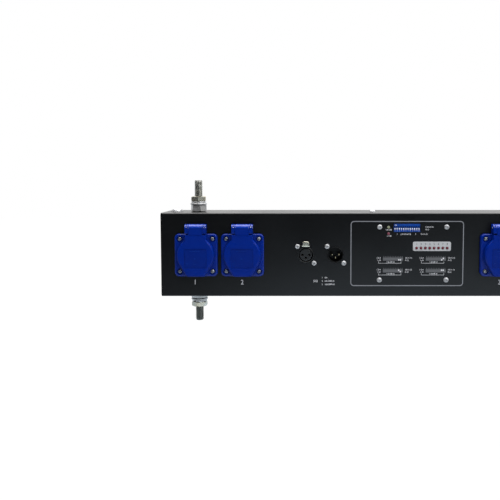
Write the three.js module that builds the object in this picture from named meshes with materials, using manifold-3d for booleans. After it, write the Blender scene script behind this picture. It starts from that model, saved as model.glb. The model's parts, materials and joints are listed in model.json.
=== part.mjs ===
// Eight way dimmer bar for stage lamps, with its stand bracket, in millimetres and +Z up.
// X runs along the bar, and the sockets face -Y.
// The origin is the seat of the stand spigot, inside the sleeve under the middle of the bar.

import * as THREE from 'three';
import { mergeVertices } from 'three/addons/utils/BufferGeometryUtils.js';
import Module from 'manifold-3d';

const wasm = await Module();
wasm.setup();

// Sizes shared by all pieces
const fitGap = 0.3;            // what touching or sliding pieces keep between them
const overrun = 1;             // how far a cutting shape passes the face that it cuts
const mergeTolerance = 0.0001;
const wideSides = 22;          // sides of a wide circle, a middling one and a small one
const roundSides = 12;
const smallSides = 8;
const hexSides = 6;
const cornerSegments = 3;      // steps in a small round corner, and in a long arc
const arcSegments = 9;

// Bar housing, a folded steel tray that is open at the rear
const barLength = 1500;
const barHeight = 98;
const barDepth = 70;
const sheet = 1.5;
const rearLip = 14;
const seatToBar = 60;          // from the spigot's seat up to the underside of the bar

// Rear cover and its vent slots
const coverMargin = 0.8;
const ventLength = 46;
const ventHeight = 3;
const ventPitch = 9;
const ventOffset = 84;         // from the middle of the module, clear of the signal inlet
const ventRows = 6;

// Panel sockets with a sprung lid
const firstSocketInset = 41.7; // from the end of the bar to the first socket
const socketSpacing = 4;       // between the flanges of a pair
const pairPitch = 356;         // from the outer pair of sockets to the inner pair
const flangeSide = 50;
const flangeCorner = 5;
const flangeThickness = 4;
const socketBodyDepth = 34;
const recessRadius = 19.5;
const recessWall = 2.25;
const recessDepth = 17.5;
const pinPitch = 19;
const pinHoleRadius = 2.7;
const pinHoleDepth = 14;
const earthClipWidth = 6;
const earthClipThickness = 2;
const earthClipLength = 12;
const socketScrewPitch = 38;
const screwPocketRadius = 3.5;
const screwPocketDepth = 1.6;
const hingeRise = 7.2;         // from the top of the flange up to the hinge axis
const hingeWidth = 24.4;
const knuckleRadius = 4;
const earWidth = 4;
const earFootRise = 0.6;       // of the ears' feet above the top of the flange
const tabThickness = 1;

// Socket lid
const lidThickness = 5;
const lidRadius = 21.6;
const lipReach = 3.2;          // how far the finger lip hangs below the disc
const lipCorner = 4;
const lipSlope = Math.PI / 6;  // of the lip's sides, from upright
const windowWidth = 26;
const windowHeight = 22.5;
const windowDrop = 3.2;        // from the middle of the lid down to the middle of the window
const windowDepth = 0.5;

// Lamp studs, four above and four below, with their nuts and washers
const studCount = 4;           // along the bar
const studInset = 39;          // from the end of the bar to the first stud
const studRadius = 5;
const studReachAbove = 38;
const studReachBelow = 36;
const studChamfer = 1.2;
const hexAcross = 17;          // across the flats of heads and nuts
const boltHeadHeight = 6.4;
const lockNutHeight = 8;
const washerRadius = 10;
const washerHeight = 2;
const springWasherRadius = 9;
const springWasherHeight = 2.2;
const clampNutHeight = 6;
const threadGap = 0.3;         // between the rod and what is threaded on it

// Three pin signal sockets
const signalOutInset = 169.4;  // from the end of the bar
const signalSpacing = 7.8;     // between the bodies of the outlet and the inlet
const signalBlockSide = 27;
const signalBlockDepth = 18;
const collarRadius = 9.2;
const collarProud = 0.8;
const collarWall = 0.8;
const grooveWidth = 1.1;
const grooveDepth = 11;
const contactRadius = 1.3;
const contactHalfPitch = 4;
const contactDrop = 3.6;
const pinLength = 11;

// Push latch over the signal outlet
const latchSpacing = 0.5;      // above the collar
const latchWidth = 10;
const latchHeight = 6.2;
const latchProud = 3;
const latchLength = 9;
const latchTravel = 1.5;
const latchWall = 2;           // of the block round the latch

// Twelve way slide switch on the control board
const switchLeft = 7.3;        // left of the middle of the board
const switchDrop = 6.95;       // below the top edge of the board
const switchWays = 12;
const switchPitch = 2.54;
const switchHeight = 9.3;
const switchProud = 0.5;
const sliderWidth = 1.1;
const sliderHeight = 1.8;
const sliderDepth = 2.2;
const sliderTravel = 2;

// Channel strip with eight indicator lamps
const stripRight = 21.9;       // right of the middle of the board
const stripRise = 8.5;        // above the middle of the board
const stripEnd = 1.9;          // past the first and last lamp pitch
const stripHeight = 10.9;
const stripCorner = 2;
const stripThickness = 0.8;
const lampCount = 8;
const lampPitch = 5.08;
const lampDrop = 1.95;         // from the middle of the strip down to its lamps
const lampRadius = 1.5;
const lampProud = 1.1;

// Control board behind the panel
const boardInset = 294.8;
const boardRise = 1.5;
const boardWidth = 90;
const boardEdgeGap = 10.5;     // from the board's edges to the floor and the ceiling of the bar
const boardThickness = 1.6;
const boardStandoff = 8;       // from the rear of the panel to the board
const boardScrewEdgeX = 5.9;
const boardScrewEdgeZ = 5.85;
const spacerRadius = 3;
const statusLampLeft = 28.9;   // left of the middle of the board
const statusLampDrop = 6.2;   // below the top edge of the board
const statusLampPitch = 7.4;
const transformerWidth = 34;
const transformerHeight = 28;
const transformerDepth = 20;

// Mains inlet
const inletOffset = 5;         // right of the middle of the bar
const inletFlange = 58;
const inletCorner = 4;
const inletThickness = 4;
const shroudRadius = 24;
const shroudWall = 2.5;
const shroudReach = 22;
const inletBodyDepth = 26;
const inletPinCount = 5;
const inletPinRadius = 2.5;
const inletPinCircle = 13;
const inletPinLength = 16;

// Two strips of four fuse holders
const fuseOffset = 90;         // from the middle of the bar to the first strip
const fuseStripSpacing = 20;   // between the strips
const fuseCount = 4;
const fuseSpacing = 3.1;       // between the bodies of two fuse holders
const fusePlateWidth = 15;
const fusePlateEnd = 2;
const fusePlateThickness = 1.2;
const fuseCapRadius = 5.5;
const fuseCapReach = 7;
const fuseBodyRadius = 6.2;
const fuseBodyDepth = 28;

// Two dimmer modules, each a board of chokes under a finned heat sink
const moduleInset = 250;       // from the end of the bar to the middle of the module
const moduleLength = 236;
const dimmerBoardFrontGap = 27.2;
const dimmerBoardRearGap = 4;
const dimmerSpacerHeight = 6;
const chokeCount = 4;
const chokeRadius = 14;
const chokeBore = 6;
const chokeHeight = 12;
const terminalHeight = 10;
const terminalDepth = 8;
const sinkFrontGap = 9.2;
const sinkThickness = 3;
const sinkRearGap = 6;
const finCount = 5;
const finPitch = 6;
const finHeight = 14;
const finThickness = 2;
const sinkScrewRadius = 2;
const sinkScrewBack = 22;      // from the front of the bar to the screw in its top

// Stand bracket, a forked strap on a sleeve that takes a stand spigot
const sleeveRadius = 25;
const spigotRadius = 14;
const sleeveCrown = 20;        // solid part of the sleeve above the seat
const spigotDepth = 130;
const mouthRim = 3;
const mouthRimHeight = 8;
const strapWidth = 40;
const strapThickness = 6;
const footSpan = 176;
const footLength = 34;
const bracketBoltRadius = 4;
const bracketBoltAcross = 13;
const bracketBoltHead = 5.5;
const bracketNutHeight = 6.5;
const bracketBoltPitch = 20;   // across the strap

// Places worked out from the sizes
const leftX = -barLength / 2;
const frontY = -barDepth / 2;
const rearY = barDepth / 2;
const bottomZ = seatToBar;
const topZ = bottomZ + barHeight;
const middleZ = bottomZ + barHeight / 2;
const trayRearY = rearY - sheet - fitGap;
const panelRearY = frontY + sheet;
const floorZ = bottomZ + sheet;
const ceilingZ = topZ - sheet;
const boardFrontY = panelRearY + boardStandoff;
const onPanelY = frontY - fitGap;
const flangeFrontY = onPanelY - flangeThickness;
const socketBodyRadius = recessRadius + recessWall;
const grooveRadius = collarRadius - collarWall;
const boardHeight = barHeight - 2 * (sheet + boardEdgeGap);

// Turn a closed mesh into a solid that can be joined and cut
function toSolid(geometry) {
  const bare = geometry.clone();
  bare.deleteAttribute('normal');
  bare.deleteAttribute('uv');
  const merged = mergeVertices(bare, mergeTolerance);
  return new wasm.Manifold(new wasm.Mesh({
    numProp: 3,
    vertProperties: new Float32Array(merged.attributes.position.array),
    triVerts: new Uint32Array(merged.index.array),
  }));
}

// Turn a solid back into geometry that a mesh can show
function toGeometry(solid) {
  const { vertProperties, triVerts } = solid.getMesh();
  const geometry = new THREE.BufferGeometry();
  geometry.setAttribute('position', new THREE.BufferAttribute(new Float32Array(vertProperties), 3));
  geometry.setIndex(new THREE.BufferAttribute(new Uint32Array(triVerts), 1));
  geometry.computeVertexNormals();
  return geometry;
}

// Join a list of solids that meet or overlap
function join(solids) {
  return solids.reduce((whole, piece) => whole.add(piece));
}

// Cut each of a list of solids out of the first one
function cut(whole, pieces) {
  return pieces.reduce((rest, piece) => rest.subtract(piece), whole);
}

// A block between two opposite corners
function block(low, high) {
  const size = high.map((value, axis) => value - low[axis]);
  const geometry = new THREE.BoxGeometry(...size);
  geometry.translate(...high.map((value, axis) => (value + low[axis]) / 2));
  return toSolid(geometry);
}

// A block given by its middle in X and Z, its width and height, and its two ends in Y
function panelBlock(x, z, width, height, y0, y1) {
  return block([x - width / 2, y0, z - height / 2], [x + width / 2, y1, z + height / 2]);
}

// A round bar along X, with its axis at y and z
function rodX(radius, x0, x1, y, z, sides) {
  const geometry = new THREE.CylinderGeometry(radius, radius, x1 - x0, sides);
  geometry.rotateZ(Math.PI / 2);
  geometry.translate((x0 + x1) / 2, y, z);
  return toSolid(geometry);
}

// A round bar along Y, with its axis at x and z
function rodY(radius, x, z, y0, y1, sides) {
  const geometry = new THREE.CylinderGeometry(radius, radius, y1 - y0, sides);
  geometry.translate(x, (y0 + y1) / 2, z);
  return toSolid(geometry);
}

// A round bar along Z, with its axis at x and y
function rodZ(radius, x, y, z0, z1, sides) {
  const geometry = new THREE.CylinderGeometry(radius, radius, Math.abs(z1 - z0), sides);
  geometry.rotateX(Math.PI / 2);
  geometry.translate(x, y, (z0 + z1) / 2);
  return toSolid(geometry);
}

// A hexagonal bar along Z, with corners to front and rear, or to both sides if turned
function hexZ(across, x, y, z0, z1, turned) {
  const radius = across / Math.sqrt(3);
  const geometry = new THREE.CylinderGeometry(radius, radius, Math.abs(z1 - z0), hexSides);
  geometry.rotateX(Math.PI / 2);
  if (turned) geometry.rotateZ(Math.PI / hexSides);
  geometry.translate(x, y, (z0 + z1) / 2);
  return toSolid(geometry);
}

// A turned shape about a vertical axis, from radius and height pairs
function turnedZ(profile, x, y, sides) {
  const points = profile.map(([radius, height]) => new THREE.Vector2(radius, height));
  const geometry = new THREE.LatheGeometry(points, sides);
  geometry.rotateX(Math.PI / 2);
  geometry.translate(x, y, 0);
  return toSolid(geometry);
}

// An outline in X and Z, carried along Y from y0 to y1
function slabY(shape, x, z, y0, y1, curveSegments) {
  const geometry = new THREE.ExtrudeGeometry(shape, { depth: y1 - y0, bevelEnabled: false, curveSegments });
  geometry.rotateX(Math.PI / 2);
  geometry.translate(x, y1, z);
  return toSolid(geometry);
}

// A rectangle with round corners about its own middle
function roundedRectangle(width, height, corner) {
  const x = width / 2 - corner;
  const y = height / 2 - corner;
  const shape = new THREE.Shape();
  shape.absarc(x, y, corner, 0, Math.PI / 2);
  shape.absarc(-x, y, corner, Math.PI / 2, Math.PI);
  shape.absarc(-x, -y, corner, Math.PI, Math.PI * 3 / 2);
  shape.absarc(x, -y, corner, Math.PI * 3 / 2, Math.PI * 2);
  return shape;
}

// Offsets of the members of an evenly spaced row about its middle
function row(count, pitch) {
  return Array.from({ length: count }, (_, index) => (index - (count - 1) / 2) * pitch);
}

// The four corners of a rectangle of screws about its middle
function corners(pitchX, pitchZ) {
  return [-1, 1].flatMap((sideX) => [-1, 1].map((sideZ) => [sideX * pitchX / 2, sideZ * pitchZ / 2]));
}

const finishes = {
  housing: { color: 0x15161a, roughness: 0.42, metalness: 0.3 },
  socket: { color: 0x0a1f86, roughness: 0.36, metalness: 0 },
  zinc: { color: 0xb4b6b8, roughness: 0.32, metalness: 0.9 },
  blackPlastic: { color: 0x121214, roughness: 0.5, metalness: 0 },
  latch: { color: 0xc4c2bc, roughness: 0.3, metalness: 0.9 },
  switchBody: { color: 0x0e3a9c, roughness: 0.4, metalness: 0 },
  white: { color: 0xe6e6e2, roughness: 0.45, metalness: 0 },
  strip: { color: 0xbfc1c2, roughness: 0.5, metalness: 0 },
  board: { color: 0x1c5a34, roughness: 0.55, metalness: 0 },
  aluminium: { color: 0x9a9da0, roughness: 0.45, metalness: 0.85 },
};

const bar = new THREE.Group();

// Add one named piece in its finish
function addPiece(name, solid, finish) {
  const material = new THREE.MeshStandardMaterial(finishes[finish]);
  const mesh = new THREE.Mesh(toGeometry(solid), material);
  mesh.name = name;
  bar.add(mesh);
}

// Socket middles from left to right, the right half mirroring the left
const firstSocketX = leftX + firstSocketInset;
const leftPair = [firstSocketX, firstSocketX + flangeSide + socketSpacing];
const leftHalf = [...leftPair, ...leftPair.map((x) => x + pairPitch)];
const socketPlaces = [...leftHalf, ...leftHalf.map((x) => -x).reverse()];

// Studs are evenly spaced between the outer two
const studPlaces = row(studCount, (barLength - 2 * studInset) / (studCount - 1));
const modulePlaces = [leftX + moduleInset, -leftX - moduleInset];
const signalZ = middleZ;
const signalOutX = leftX + signalOutInset;
const signalInX = signalOutX + signalBlockSide + signalSpacing;
const latchZ = signalZ + collarRadius + latchSpacing + latchHeight / 2;
const boardX = leftX + boardInset;
const boardZ = middleZ + boardRise;
const boardTopZ = boardZ + boardHeight / 2;
const switchX = boardX - switchLeft;
const switchZ = boardTopZ - switchDrop;
const switchWidth = switchWays * switchPitch;
const stripX = boardX + stripRight;
const stripZ = boardZ + stripRise;
const lampZ = stripZ - lampDrop;
const statusLampX = boardX - statusLampLeft;
const statusLamps = [boardTopZ - statusLampDrop, boardTopZ - statusLampDrop - statusLampPitch];
const inletX = inletOffset;
const fuseStrips = [fuseOffset, fuseOffset + fusePlateWidth + fuseStripSpacing];
const fusePlaces = row(fuseCount, 2 * fuseBodyRadius + fuseSpacing).map((dz) => middleZ + dz);
const sinkScrewY = frontY + sinkScrewBack;
const footX = (footSpan - footLength) / 2;

// The housing: a tray with lips round its open rear, and a hole for everything that it carries
function makeHousing() {
  const outside = block([leftX, frontY, bottomZ], [-leftX, trayRearY, topZ]);
  const inside = block([leftX + sheet, panelRearY, floorZ], [-leftX - sheet, trayRearY - sheet, ceilingZ]);
  const mouth = block(
    [leftX + rearLip, trayRearY - sheet - overrun, bottomZ + rearLip],
    [-leftX - rearLip, trayRearY + overrun, topZ - rearLip],
  );
  const y0 = frontY - overrun;
  const y1 = panelRearY + overrun;
  const socketHoles = socketPlaces.map((x) => rodY(socketBodyRadius + fitGap, x, middleZ, y0, y1, wideSides));
  const signalHoles = [signalOutX, signalInX].map(
    (x) => rodY(collarRadius + fitGap, x, signalZ, y0, y1, wideSides));
  const panelWindows = [
    panelBlock(signalOutX, latchZ, latchWidth + 2 * fitGap, latchHeight + 2 * fitGap, y0, y1),
    panelBlock(switchX, switchZ, switchWidth + 2 * fitGap, switchHeight + 2 * fitGap, y0, y1),
    panelBlock(stripX, lampZ, lampCount * lampPitch, 2 * lampRadius + 2 * fitGap, y0, y1),
    rodY(shroudRadius + fitGap, inletX, middleZ, y0, y1, wideSides),
  ];
  const statusHoles = statusLamps.map(
    (z) => rodY(lampRadius + fitGap, statusLampX, z, y0, y1, smallSides));
  const fuseHoles = fuseStrips.flatMap((x) => fusePlaces.map(
    (z) => rodY(fuseBodyRadius + fitGap, x, z, y0, y1, roundSides)));
  const studHoles = studPlaces.map(
    (x) => rodZ(studRadius + threadGap, x, 0, bottomZ - overrun, topZ + overrun, roundSides));
  const bracketHoles = [-footX, footX].flatMap((x) => row(2, bracketBoltPitch).map(
    (y) => rodZ(bracketBoltRadius + fitGap, x, y, bottomZ - overrun, floorZ + overrun, smallSides)));
  const sinkHoles = modulePlaces.map(
    (x) => rodZ(sinkScrewRadius, x, sinkScrewY, ceilingZ - overrun, topZ + overrun, smallSides));
  return cut(outside, [
    inside, mouth, ...socketHoles, ...signalHoles, ...panelWindows,
    ...statusHoles, ...fuseHoles, ...studHoles, ...bracketHoles, ...sinkHoles,
  ]);
}

// The rear cover: a flat plate with rows of vent slots behind both dimmer modules
function makeRearCover() {
  const plate = block(
    [leftX + coverMargin, rearY - sheet, bottomZ + coverMargin],
    [-leftX - coverMargin, rearY, topZ - coverMargin],
  );
  const columns = modulePlaces.flatMap((x) => [x - ventOffset, x + ventOffset]);
  const vents = columns.flatMap((x) => row(ventRows, ventPitch).map(
    (dz) => panelBlock(x, middleZ + dz, ventLength, ventHeight, rearY - sheet - overrun, rearY + overrun)));
  return cut(plate, vents);
}

// Hinge axis and its bearings, shared by the socket and its lid
const tabFrontY = onPanelY - tabThickness;
const hingeY = tabFrontY - fitGap - knuckleRadius;
const hingeZ = middleZ + flangeSide / 2 + hingeRise;
const lidBackY = flangeFrontY - fitGap;
const lidFrontY = lidBackY - lidThickness;
const tongueHalf = hingeWidth / 2 - earWidth - fitGap;
const earFootZ = middleZ + flangeSide / 2 + earFootRise;
// The lid's neck swings clear of the lower front corners of the ears
const neckTopZ = hingeZ - Math.hypot(knuckleRadius, hingeZ - earFootZ) - fitGap;

// One panel socket: square flange, round body behind it, recess with pin holes, hinge tab and ears
function makeSocket(x) {
  const outline = roundedRectangle(flangeSide, flangeSide, flangeCorner);
  const flange = slabY(outline, x, middleZ, flangeFrontY, onPanelY, cornerSegments);
  const body = rodY(
    socketBodyRadius, x, middleZ, flangeFrontY + flangeThickness / 2, onPanelY + socketBodyDepth, wideSides);
  const flangeTopZ = middleZ + flangeSide / 2;
  const tab = block(
    [x - hingeWidth / 2, tabFrontY, flangeTopZ - overrun],
    [x + hingeWidth / 2, onPanelY, hingeZ + knuckleRadius],
  );
  const ears = [-1, 1].flatMap((side) => {
    const inner = x + side * (hingeWidth / 2 - earWidth);
    const outer = x + side * hingeWidth / 2;
    const [x0, x1] = [Math.min(inner, outer), Math.max(inner, outer)];
    const rootY = tabFrontY + tabThickness / 2;
    const root = block([x0, hingeY, earFootZ], [x1, rootY, hingeZ + knuckleRadius]);
    const foot = block([x0, hingeY - knuckleRadius, earFootZ], [x1, rootY, hingeZ]);
    return [rodX(knuckleRadius, x0, x1, hingeY, hingeZ, roundSides), root, foot];
  });
  const recessFloorY = flangeFrontY + recessDepth;
  const recess = rodY(recessRadius, x, middleZ, flangeFrontY - overrun, recessFloorY, wideSides);
  const pinEndY = recessFloorY + pinHoleDepth;
  const pinHoles = row(2, pinPitch).map(
    (dx) => rodY(pinHoleRadius, x + dx, middleZ, recessFloorY - overrun, pinEndY, smallSides));
  const pocketFloorY = flangeFrontY + screwPocketDepth;
  const pockets = corners(socketScrewPitch, socketScrewPitch).map(([dx, dz]) => rodY(
    screwPocketRadius, x + dx, middleZ + dz, flangeFrontY - overrun, pocketFloorY, smallSides));
  const clips = [-1, 1].map((side) => {
    const inner = middleZ + side * (recessRadius - earthClipThickness);
    const outer = middleZ + side * (recessRadius + socketBodyRadius) / 2;
    return block(
      [x - earthClipWidth / 2, recessFloorY - earthClipLength, Math.min(inner, outer)],
      [x + earthClipWidth / 2, recessFloorY + overrun, Math.max(inner, outer)],
    );
  });
  return join([cut(join([flange, body, tab, ...ears]), [recess, ...pinHoles, ...pockets]), ...clips]);
}

// Outline of the lid about the middle of the socket, round with a finger lip and a neck to the hinge
function lidOutline() {
  const lipZ = -lidRadius - lipReach;
  const cornerZ = lipZ + lipCorner;
  const cornerX = (lidRadius - lipCorner + cornerZ * Math.sin(lipSlope)) / Math.cos(lipSlope);
  const corner = [-Math.PI / 3, -lipSlope].map(
    (angle) => [cornerX + lipCorner * Math.cos(angle), cornerZ + lipCorner * Math.sin(angle)]);
  const neckHalf = hingeWidth / 2;
  const neckTop = neckTopZ - middleZ;
  const shoulder = Math.SQRT2 * lidRadius - neckHalf;
  const shape = new THREE.Shape();
  shape.moveTo(-cornerX, lipZ);
  shape.lineTo(cornerX, lipZ);
  corner.forEach(([x, z]) => shape.lineTo(x, z));
  shape.absarc(0, 0, lidRadius, -lipSlope, Math.PI / 4);
  shape.lineTo(neckHalf, shoulder);
  shape.lineTo(neckHalf, neckTop);
  shape.lineTo(-neckHalf, neckTop);
  shape.lineTo(-neckHalf, shoulder);
  shape.absarc(0, 0, lidRadius, Math.PI * 3 / 4, Math.PI + lipSlope);
  corner.reverse().forEach(([x, z]) => shape.lineTo(-x, z));
  return shape;
}

// One socket lid: a plate with a sunk window, and a tongue up to the long middle knuckle
function makeLid(x) {
  const plate = slabY(lidOutline(), x, middleZ, lidFrontY, lidBackY, arcSegments);
  const tongue = block(
    [x - tongueHalf, lidFrontY, neckTopZ - overrun],
    [x + tongueHalf, lidBackY, hingeZ],
  );
  const knuckle = rodX(knuckleRadius, x - tongueHalf, x + tongueHalf, hingeY, hingeZ, roundSides);
  const window = panelBlock(
    x, middleZ - windowDrop, windowWidth, windowHeight, lidFrontY - overrun, lidFrontY + windowDepth);
  return cut(join([plate, tongue, knuckle]), [window]);
}

// One lamp stud: a bolt with its head inside the bar and its shank out of the top or the bottom
function makeStud(x, side, reach) {
  const wallZ = side > 0 ? topZ : bottomZ;
  const headZ = wallZ - side * (sheet + fitGap);
  const tipZ = wallZ + side * reach;
  const head = hexZ(hexAcross, x, 0, headZ, headZ - side * boltHeadHeight, false);
  const profile = [
    [0, headZ - side * boltHeadHeight / 2],
    [studRadius, headZ - side * boltHeadHeight / 2],
    [studRadius, tipZ - side * studChamfer],
    [studRadius - studChamfer, tipZ],
    [0, tipZ],
  ];
  const shank = turnedZ(side > 0 ? profile : profile.reverse(), x, 0, roundSides);
  return join([head, shank]);
}

// The stack on one stud: lock nut, plain washer, spring washer and clamp nut, threaded as one
function makeNuts(x, side) {
  const wallZ = side > 0 ? topZ : bottomZ;
  const heights = [lockNutHeight, washerHeight, springWasherHeight, clampNutHeight];
  const levels = [wallZ + side * fitGap];
  heights.forEach((height) => levels.push(levels[levels.length - 1] + side * height));
  const [seat, onLock, onWasher, onSpring, crown] = levels;
  const stack = join([
    hexZ(hexAcross, x, 0, seat, onLock, true),
    rodZ(washerRadius, x, 0, onLock, onWasher, roundSides),
    rodZ(springWasherRadius, x, 0, onWasher, onSpring, roundSides),
    hexZ(hexAcross, x, 0, onSpring, crown, false),
  ]);
  const bore = rodZ(studRadius + threadGap, x, 0, seat - side * overrun, crown + side * overrun, roundSides);
  return cut(stack, [bore]);
}

// Body of a signal socket behind the panel, with its round collar through it
function signalBody(x, blockTopZ) {
  const collarFrontY = frontY - collarProud;
  const blockFrontY = panelRearY + fitGap;
  const rear = block(
    [x - signalBlockSide / 2, blockFrontY, signalZ - signalBlockSide / 2],
    [x + signalBlockSide / 2, blockFrontY + signalBlockDepth, blockTopZ],
  );
  return join([rear, rodY(collarRadius, x, signalZ, collarFrontY, blockFrontY + overrun, wideSides)]);
}

// Middles of the three contacts of a signal socket
function contacts(x) {
  return [[x - contactHalfPitch, signalZ], [x + contactHalfPitch, signalZ], [x, signalZ - contactDrop]];
}

// The signal outlet: a ring groove round a core with three contact holes, and a guide for the latch
function makeSignalOut() {
  const frontFaceY = frontY - collarProud;
  const grooveFloorY = frontFaceY + grooveDepth;
  const body = signalBody(signalOutX, latchZ + latchHeight / 2 + latchWall);
  const groove = rodY(grooveRadius, signalOutX, signalZ, frontFaceY - overrun, grooveFloorY, wideSides);
  const coreRadius = grooveRadius - grooveWidth;
  const core = rodY(coreRadius, signalOutX, signalZ, frontFaceY, grooveFloorY + overrun, wideSides);
  const holes = contacts(signalOutX).map(
    ([x, z]) => rodY(contactRadius, x, z, frontFaceY - overrun, grooveFloorY, smallSides));
  const latchRearY = frontY - latchProud + latchLength;
  const guide = panelBlock(
    signalOutX, latchZ, latchWidth + 2 * fitGap, latchHeight + 2 * fitGap,
    frontY - overrun, latchRearY + latchTravel + fitGap);
  return cut(join([cut(body, [groove]), core]), [...holes, guide]);
}

// The push latch, a plain metal tab that slides into its guide
function makeLatch() {
  const latchFrontY = frontY - latchProud;
  return panelBlock(signalOutX, latchZ, latchWidth, latchHeight, latchFrontY, latchFrontY + latchLength);
}

// The signal inlet: an open round socket with three pins in it
function makeSignalIn() {
  const frontFaceY = frontY - collarProud;
  const cavityFloorY = frontFaceY + grooveDepth + fitGap;
  const body = signalBody(signalInX, signalZ + signalBlockSide / 2);
  const cavity = rodY(grooveRadius, signalInX, signalZ, frontFaceY - overrun, cavityFloorY, wideSides);
  const pinTipY = cavityFloorY - pinLength + overrun;
  const pins = contacts(signalInX).map(
    ([x, z]) => rodY(contactRadius, x, z, pinTipY, cavityFloorY + overrun, smallSides));
  return join([cut(body, [cavity]), ...pins]);
}

// The slide switch: a block from the board through the panel, with one slot for each way
const slotHeight = sliderHeight + sliderTravel + 2 * fitGap;
const slotWidth = sliderWidth + 2 * fitGap;
const switchFrontY = frontY - switchProud;
const slotFloorY = switchFrontY + sliderDepth + fitGap;
const wayPlaces = row(switchWays, switchPitch).map((dx) => switchX + dx);

function makeSwitch() {
  const body = panelBlock(switchX, switchZ, switchWidth, switchHeight, switchFrontY, boardFrontY - fitGap);
  const slots = wayPlaces.map(
    (x) => panelBlock(x, switchZ, slotWidth, slotHeight, switchFrontY - overrun, slotFloorY));
  return cut(body, slots);
}

// One slider, at the bottom of its slot
function makeSlider(x) {
  const z = switchZ - slotHeight / 2 + fitGap + sliderHeight / 2;
  return panelBlock(x, z, sliderWidth, sliderHeight, switchFrontY, switchFrontY + sliderDepth);
}

// The channel strip: a thin plate on the panel, with a lamp on a long stem for each channel
function makeStrip() {
  const plateFrontY = onPanelY - stripThickness;
  const outline = roundedRectangle(lampCount * lampPitch + 2 * stripEnd, stripHeight, stripCorner);
  const plate = slabY(outline, stripX, stripZ, plateFrontY, onPanelY, cornerSegments);
  const lamps = row(lampCount, lampPitch).map((dx) => rodY(
    lampRadius, stripX + dx, lampZ, plateFrontY - lampProud, boardFrontY - fitGap, smallSides));
  return join([plate, ...lamps]);
}

// The control board: its spacers reach the panel, and it carries two status lamps and a transformer
function makeControlBoard() {
  const boardRearY = boardFrontY + boardThickness;
  const plate = panelBlock(boardX, boardZ, boardWidth, boardHeight, boardFrontY, boardRearY);
  const screws = corners(boardWidth - 2 * boardScrewEdgeX, boardHeight - 2 * boardScrewEdgeZ);
  const rootY = boardFrontY + boardThickness / 2;
  const spacers = screws.map(([dx, dz]) => rodY(
    spacerRadius, boardX + dx, boardZ + dz, panelRearY + fitGap, rootY, smallSides));
  const lamps = statusLamps.map(
    (z) => rodY(lampRadius, statusLampX, z, frontY - lampProud, rootY, smallSides));
  const transformer = panelBlock(
    boardX, boardZ, transformerWidth, transformerHeight,
    boardRearY - boardThickness / 2, boardRearY + transformerDepth);
  return join([plate, ...spacers, ...lamps, transformer]);
}

// The mains inlet: flange on the panel, body behind it, and a shroud round five pins
function makeInlet() {
  const flangeY = onPanelY - inletThickness;
  const shroudY = flangeY - shroudReach;
  const outline = roundedRectangle(inletFlange, inletFlange, inletCorner);
  const flange = slabY(outline, inletX, middleZ, flangeY, onPanelY, cornerSegments);
  const body = rodY(shroudRadius, inletX, middleZ, shroudY, onPanelY + inletBodyDepth, wideSides);
  const cavity = rodY(shroudRadius - shroudWall, inletX, middleZ, shroudY - overrun, onPanelY, wideSides);
  const pins = Array.from({ length: inletPinCount }, (_, index) => {
    const angle = -Math.PI / 2 + index * 2 * Math.PI / inletPinCount;
    return rodY(
      inletPinRadius, inletX + inletPinCircle * Math.cos(angle), middleZ + inletPinCircle * Math.sin(angle),
      onPanelY - inletPinLength, onPanelY + overrun, smallSides);
  });
  return join([cut(join([flange, body]), [cavity]), ...pins]);
}

// One fuse strip: a narrow plate with four fuse holders through the panel
function makeFuses(x) {
  const plateFrontY = onPanelY - fusePlateThickness;
  const plateHeight = fusePlaces[fuseCount - 1] - fusePlaces[0] + fusePlateWidth + 2 * fusePlateEnd;
  const plate = panelBlock(x, middleZ, fusePlateWidth, plateHeight, plateFrontY, onPanelY);
  const holders = fusePlaces.flatMap((z) => [
    rodY(fuseCapRadius, x, z, plateFrontY - fuseCapReach, onPanelY, roundSides),
    rodY(fuseBodyRadius, x, z, onPanelY - fusePlateThickness / 2, onPanelY + fuseBodyDepth, roundSides),
  ]);
  return join([plate, ...holders]);
}

// One dimmer board on spacers, with four ring chokes and a row of terminals
function makeDimmerBoard(x) {
  const y1 = trayRearY - sheet - dimmerBoardRearGap;
  const y0 = panelRearY + dimmerBoardFrontGap;
  const z0 = floorZ + dimmerSpacerHeight;
  const z1 = z0 + boardThickness;
  const plate = block([x - moduleLength / 2, y0, z0], [x + moduleLength / 2, y1, z1]);
  const middleY = (y0 + y1) / 2;
  const spacerX = moduleLength / 2 - 2 * spacerRadius;
  const spacers = [-spacerX, spacerX].map(
    (dx) => rodZ(spacerRadius, x + dx, middleY, floorZ + fitGap, z0 + boardThickness / 2, smallSides));
  const ring = [
    [chokeBore, z1 - boardThickness / 2], [chokeRadius, z1 - boardThickness / 2],
    [chokeRadius, z1 + chokeHeight], [chokeBore, z1 + chokeHeight], [chokeBore, z1 - boardThickness / 2],
  ];
  const chokePitch = moduleLength / chokeCount;
  const chokes = row(chokeCount, chokePitch).map((dx) => turnedZ(ring, x + dx, middleY, roundSides));
  const terminals = row(chokeCount - 1, chokePitch).map((dx) => block(
    [x + dx - terminalDepth, y1 - terminalDepth, z1 - boardThickness / 2],
    [x + dx + terminalDepth, y1, z1 + terminalHeight],
  ));
  return join([plate, ...spacers, ...chokes, ...terminals]);
}

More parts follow.
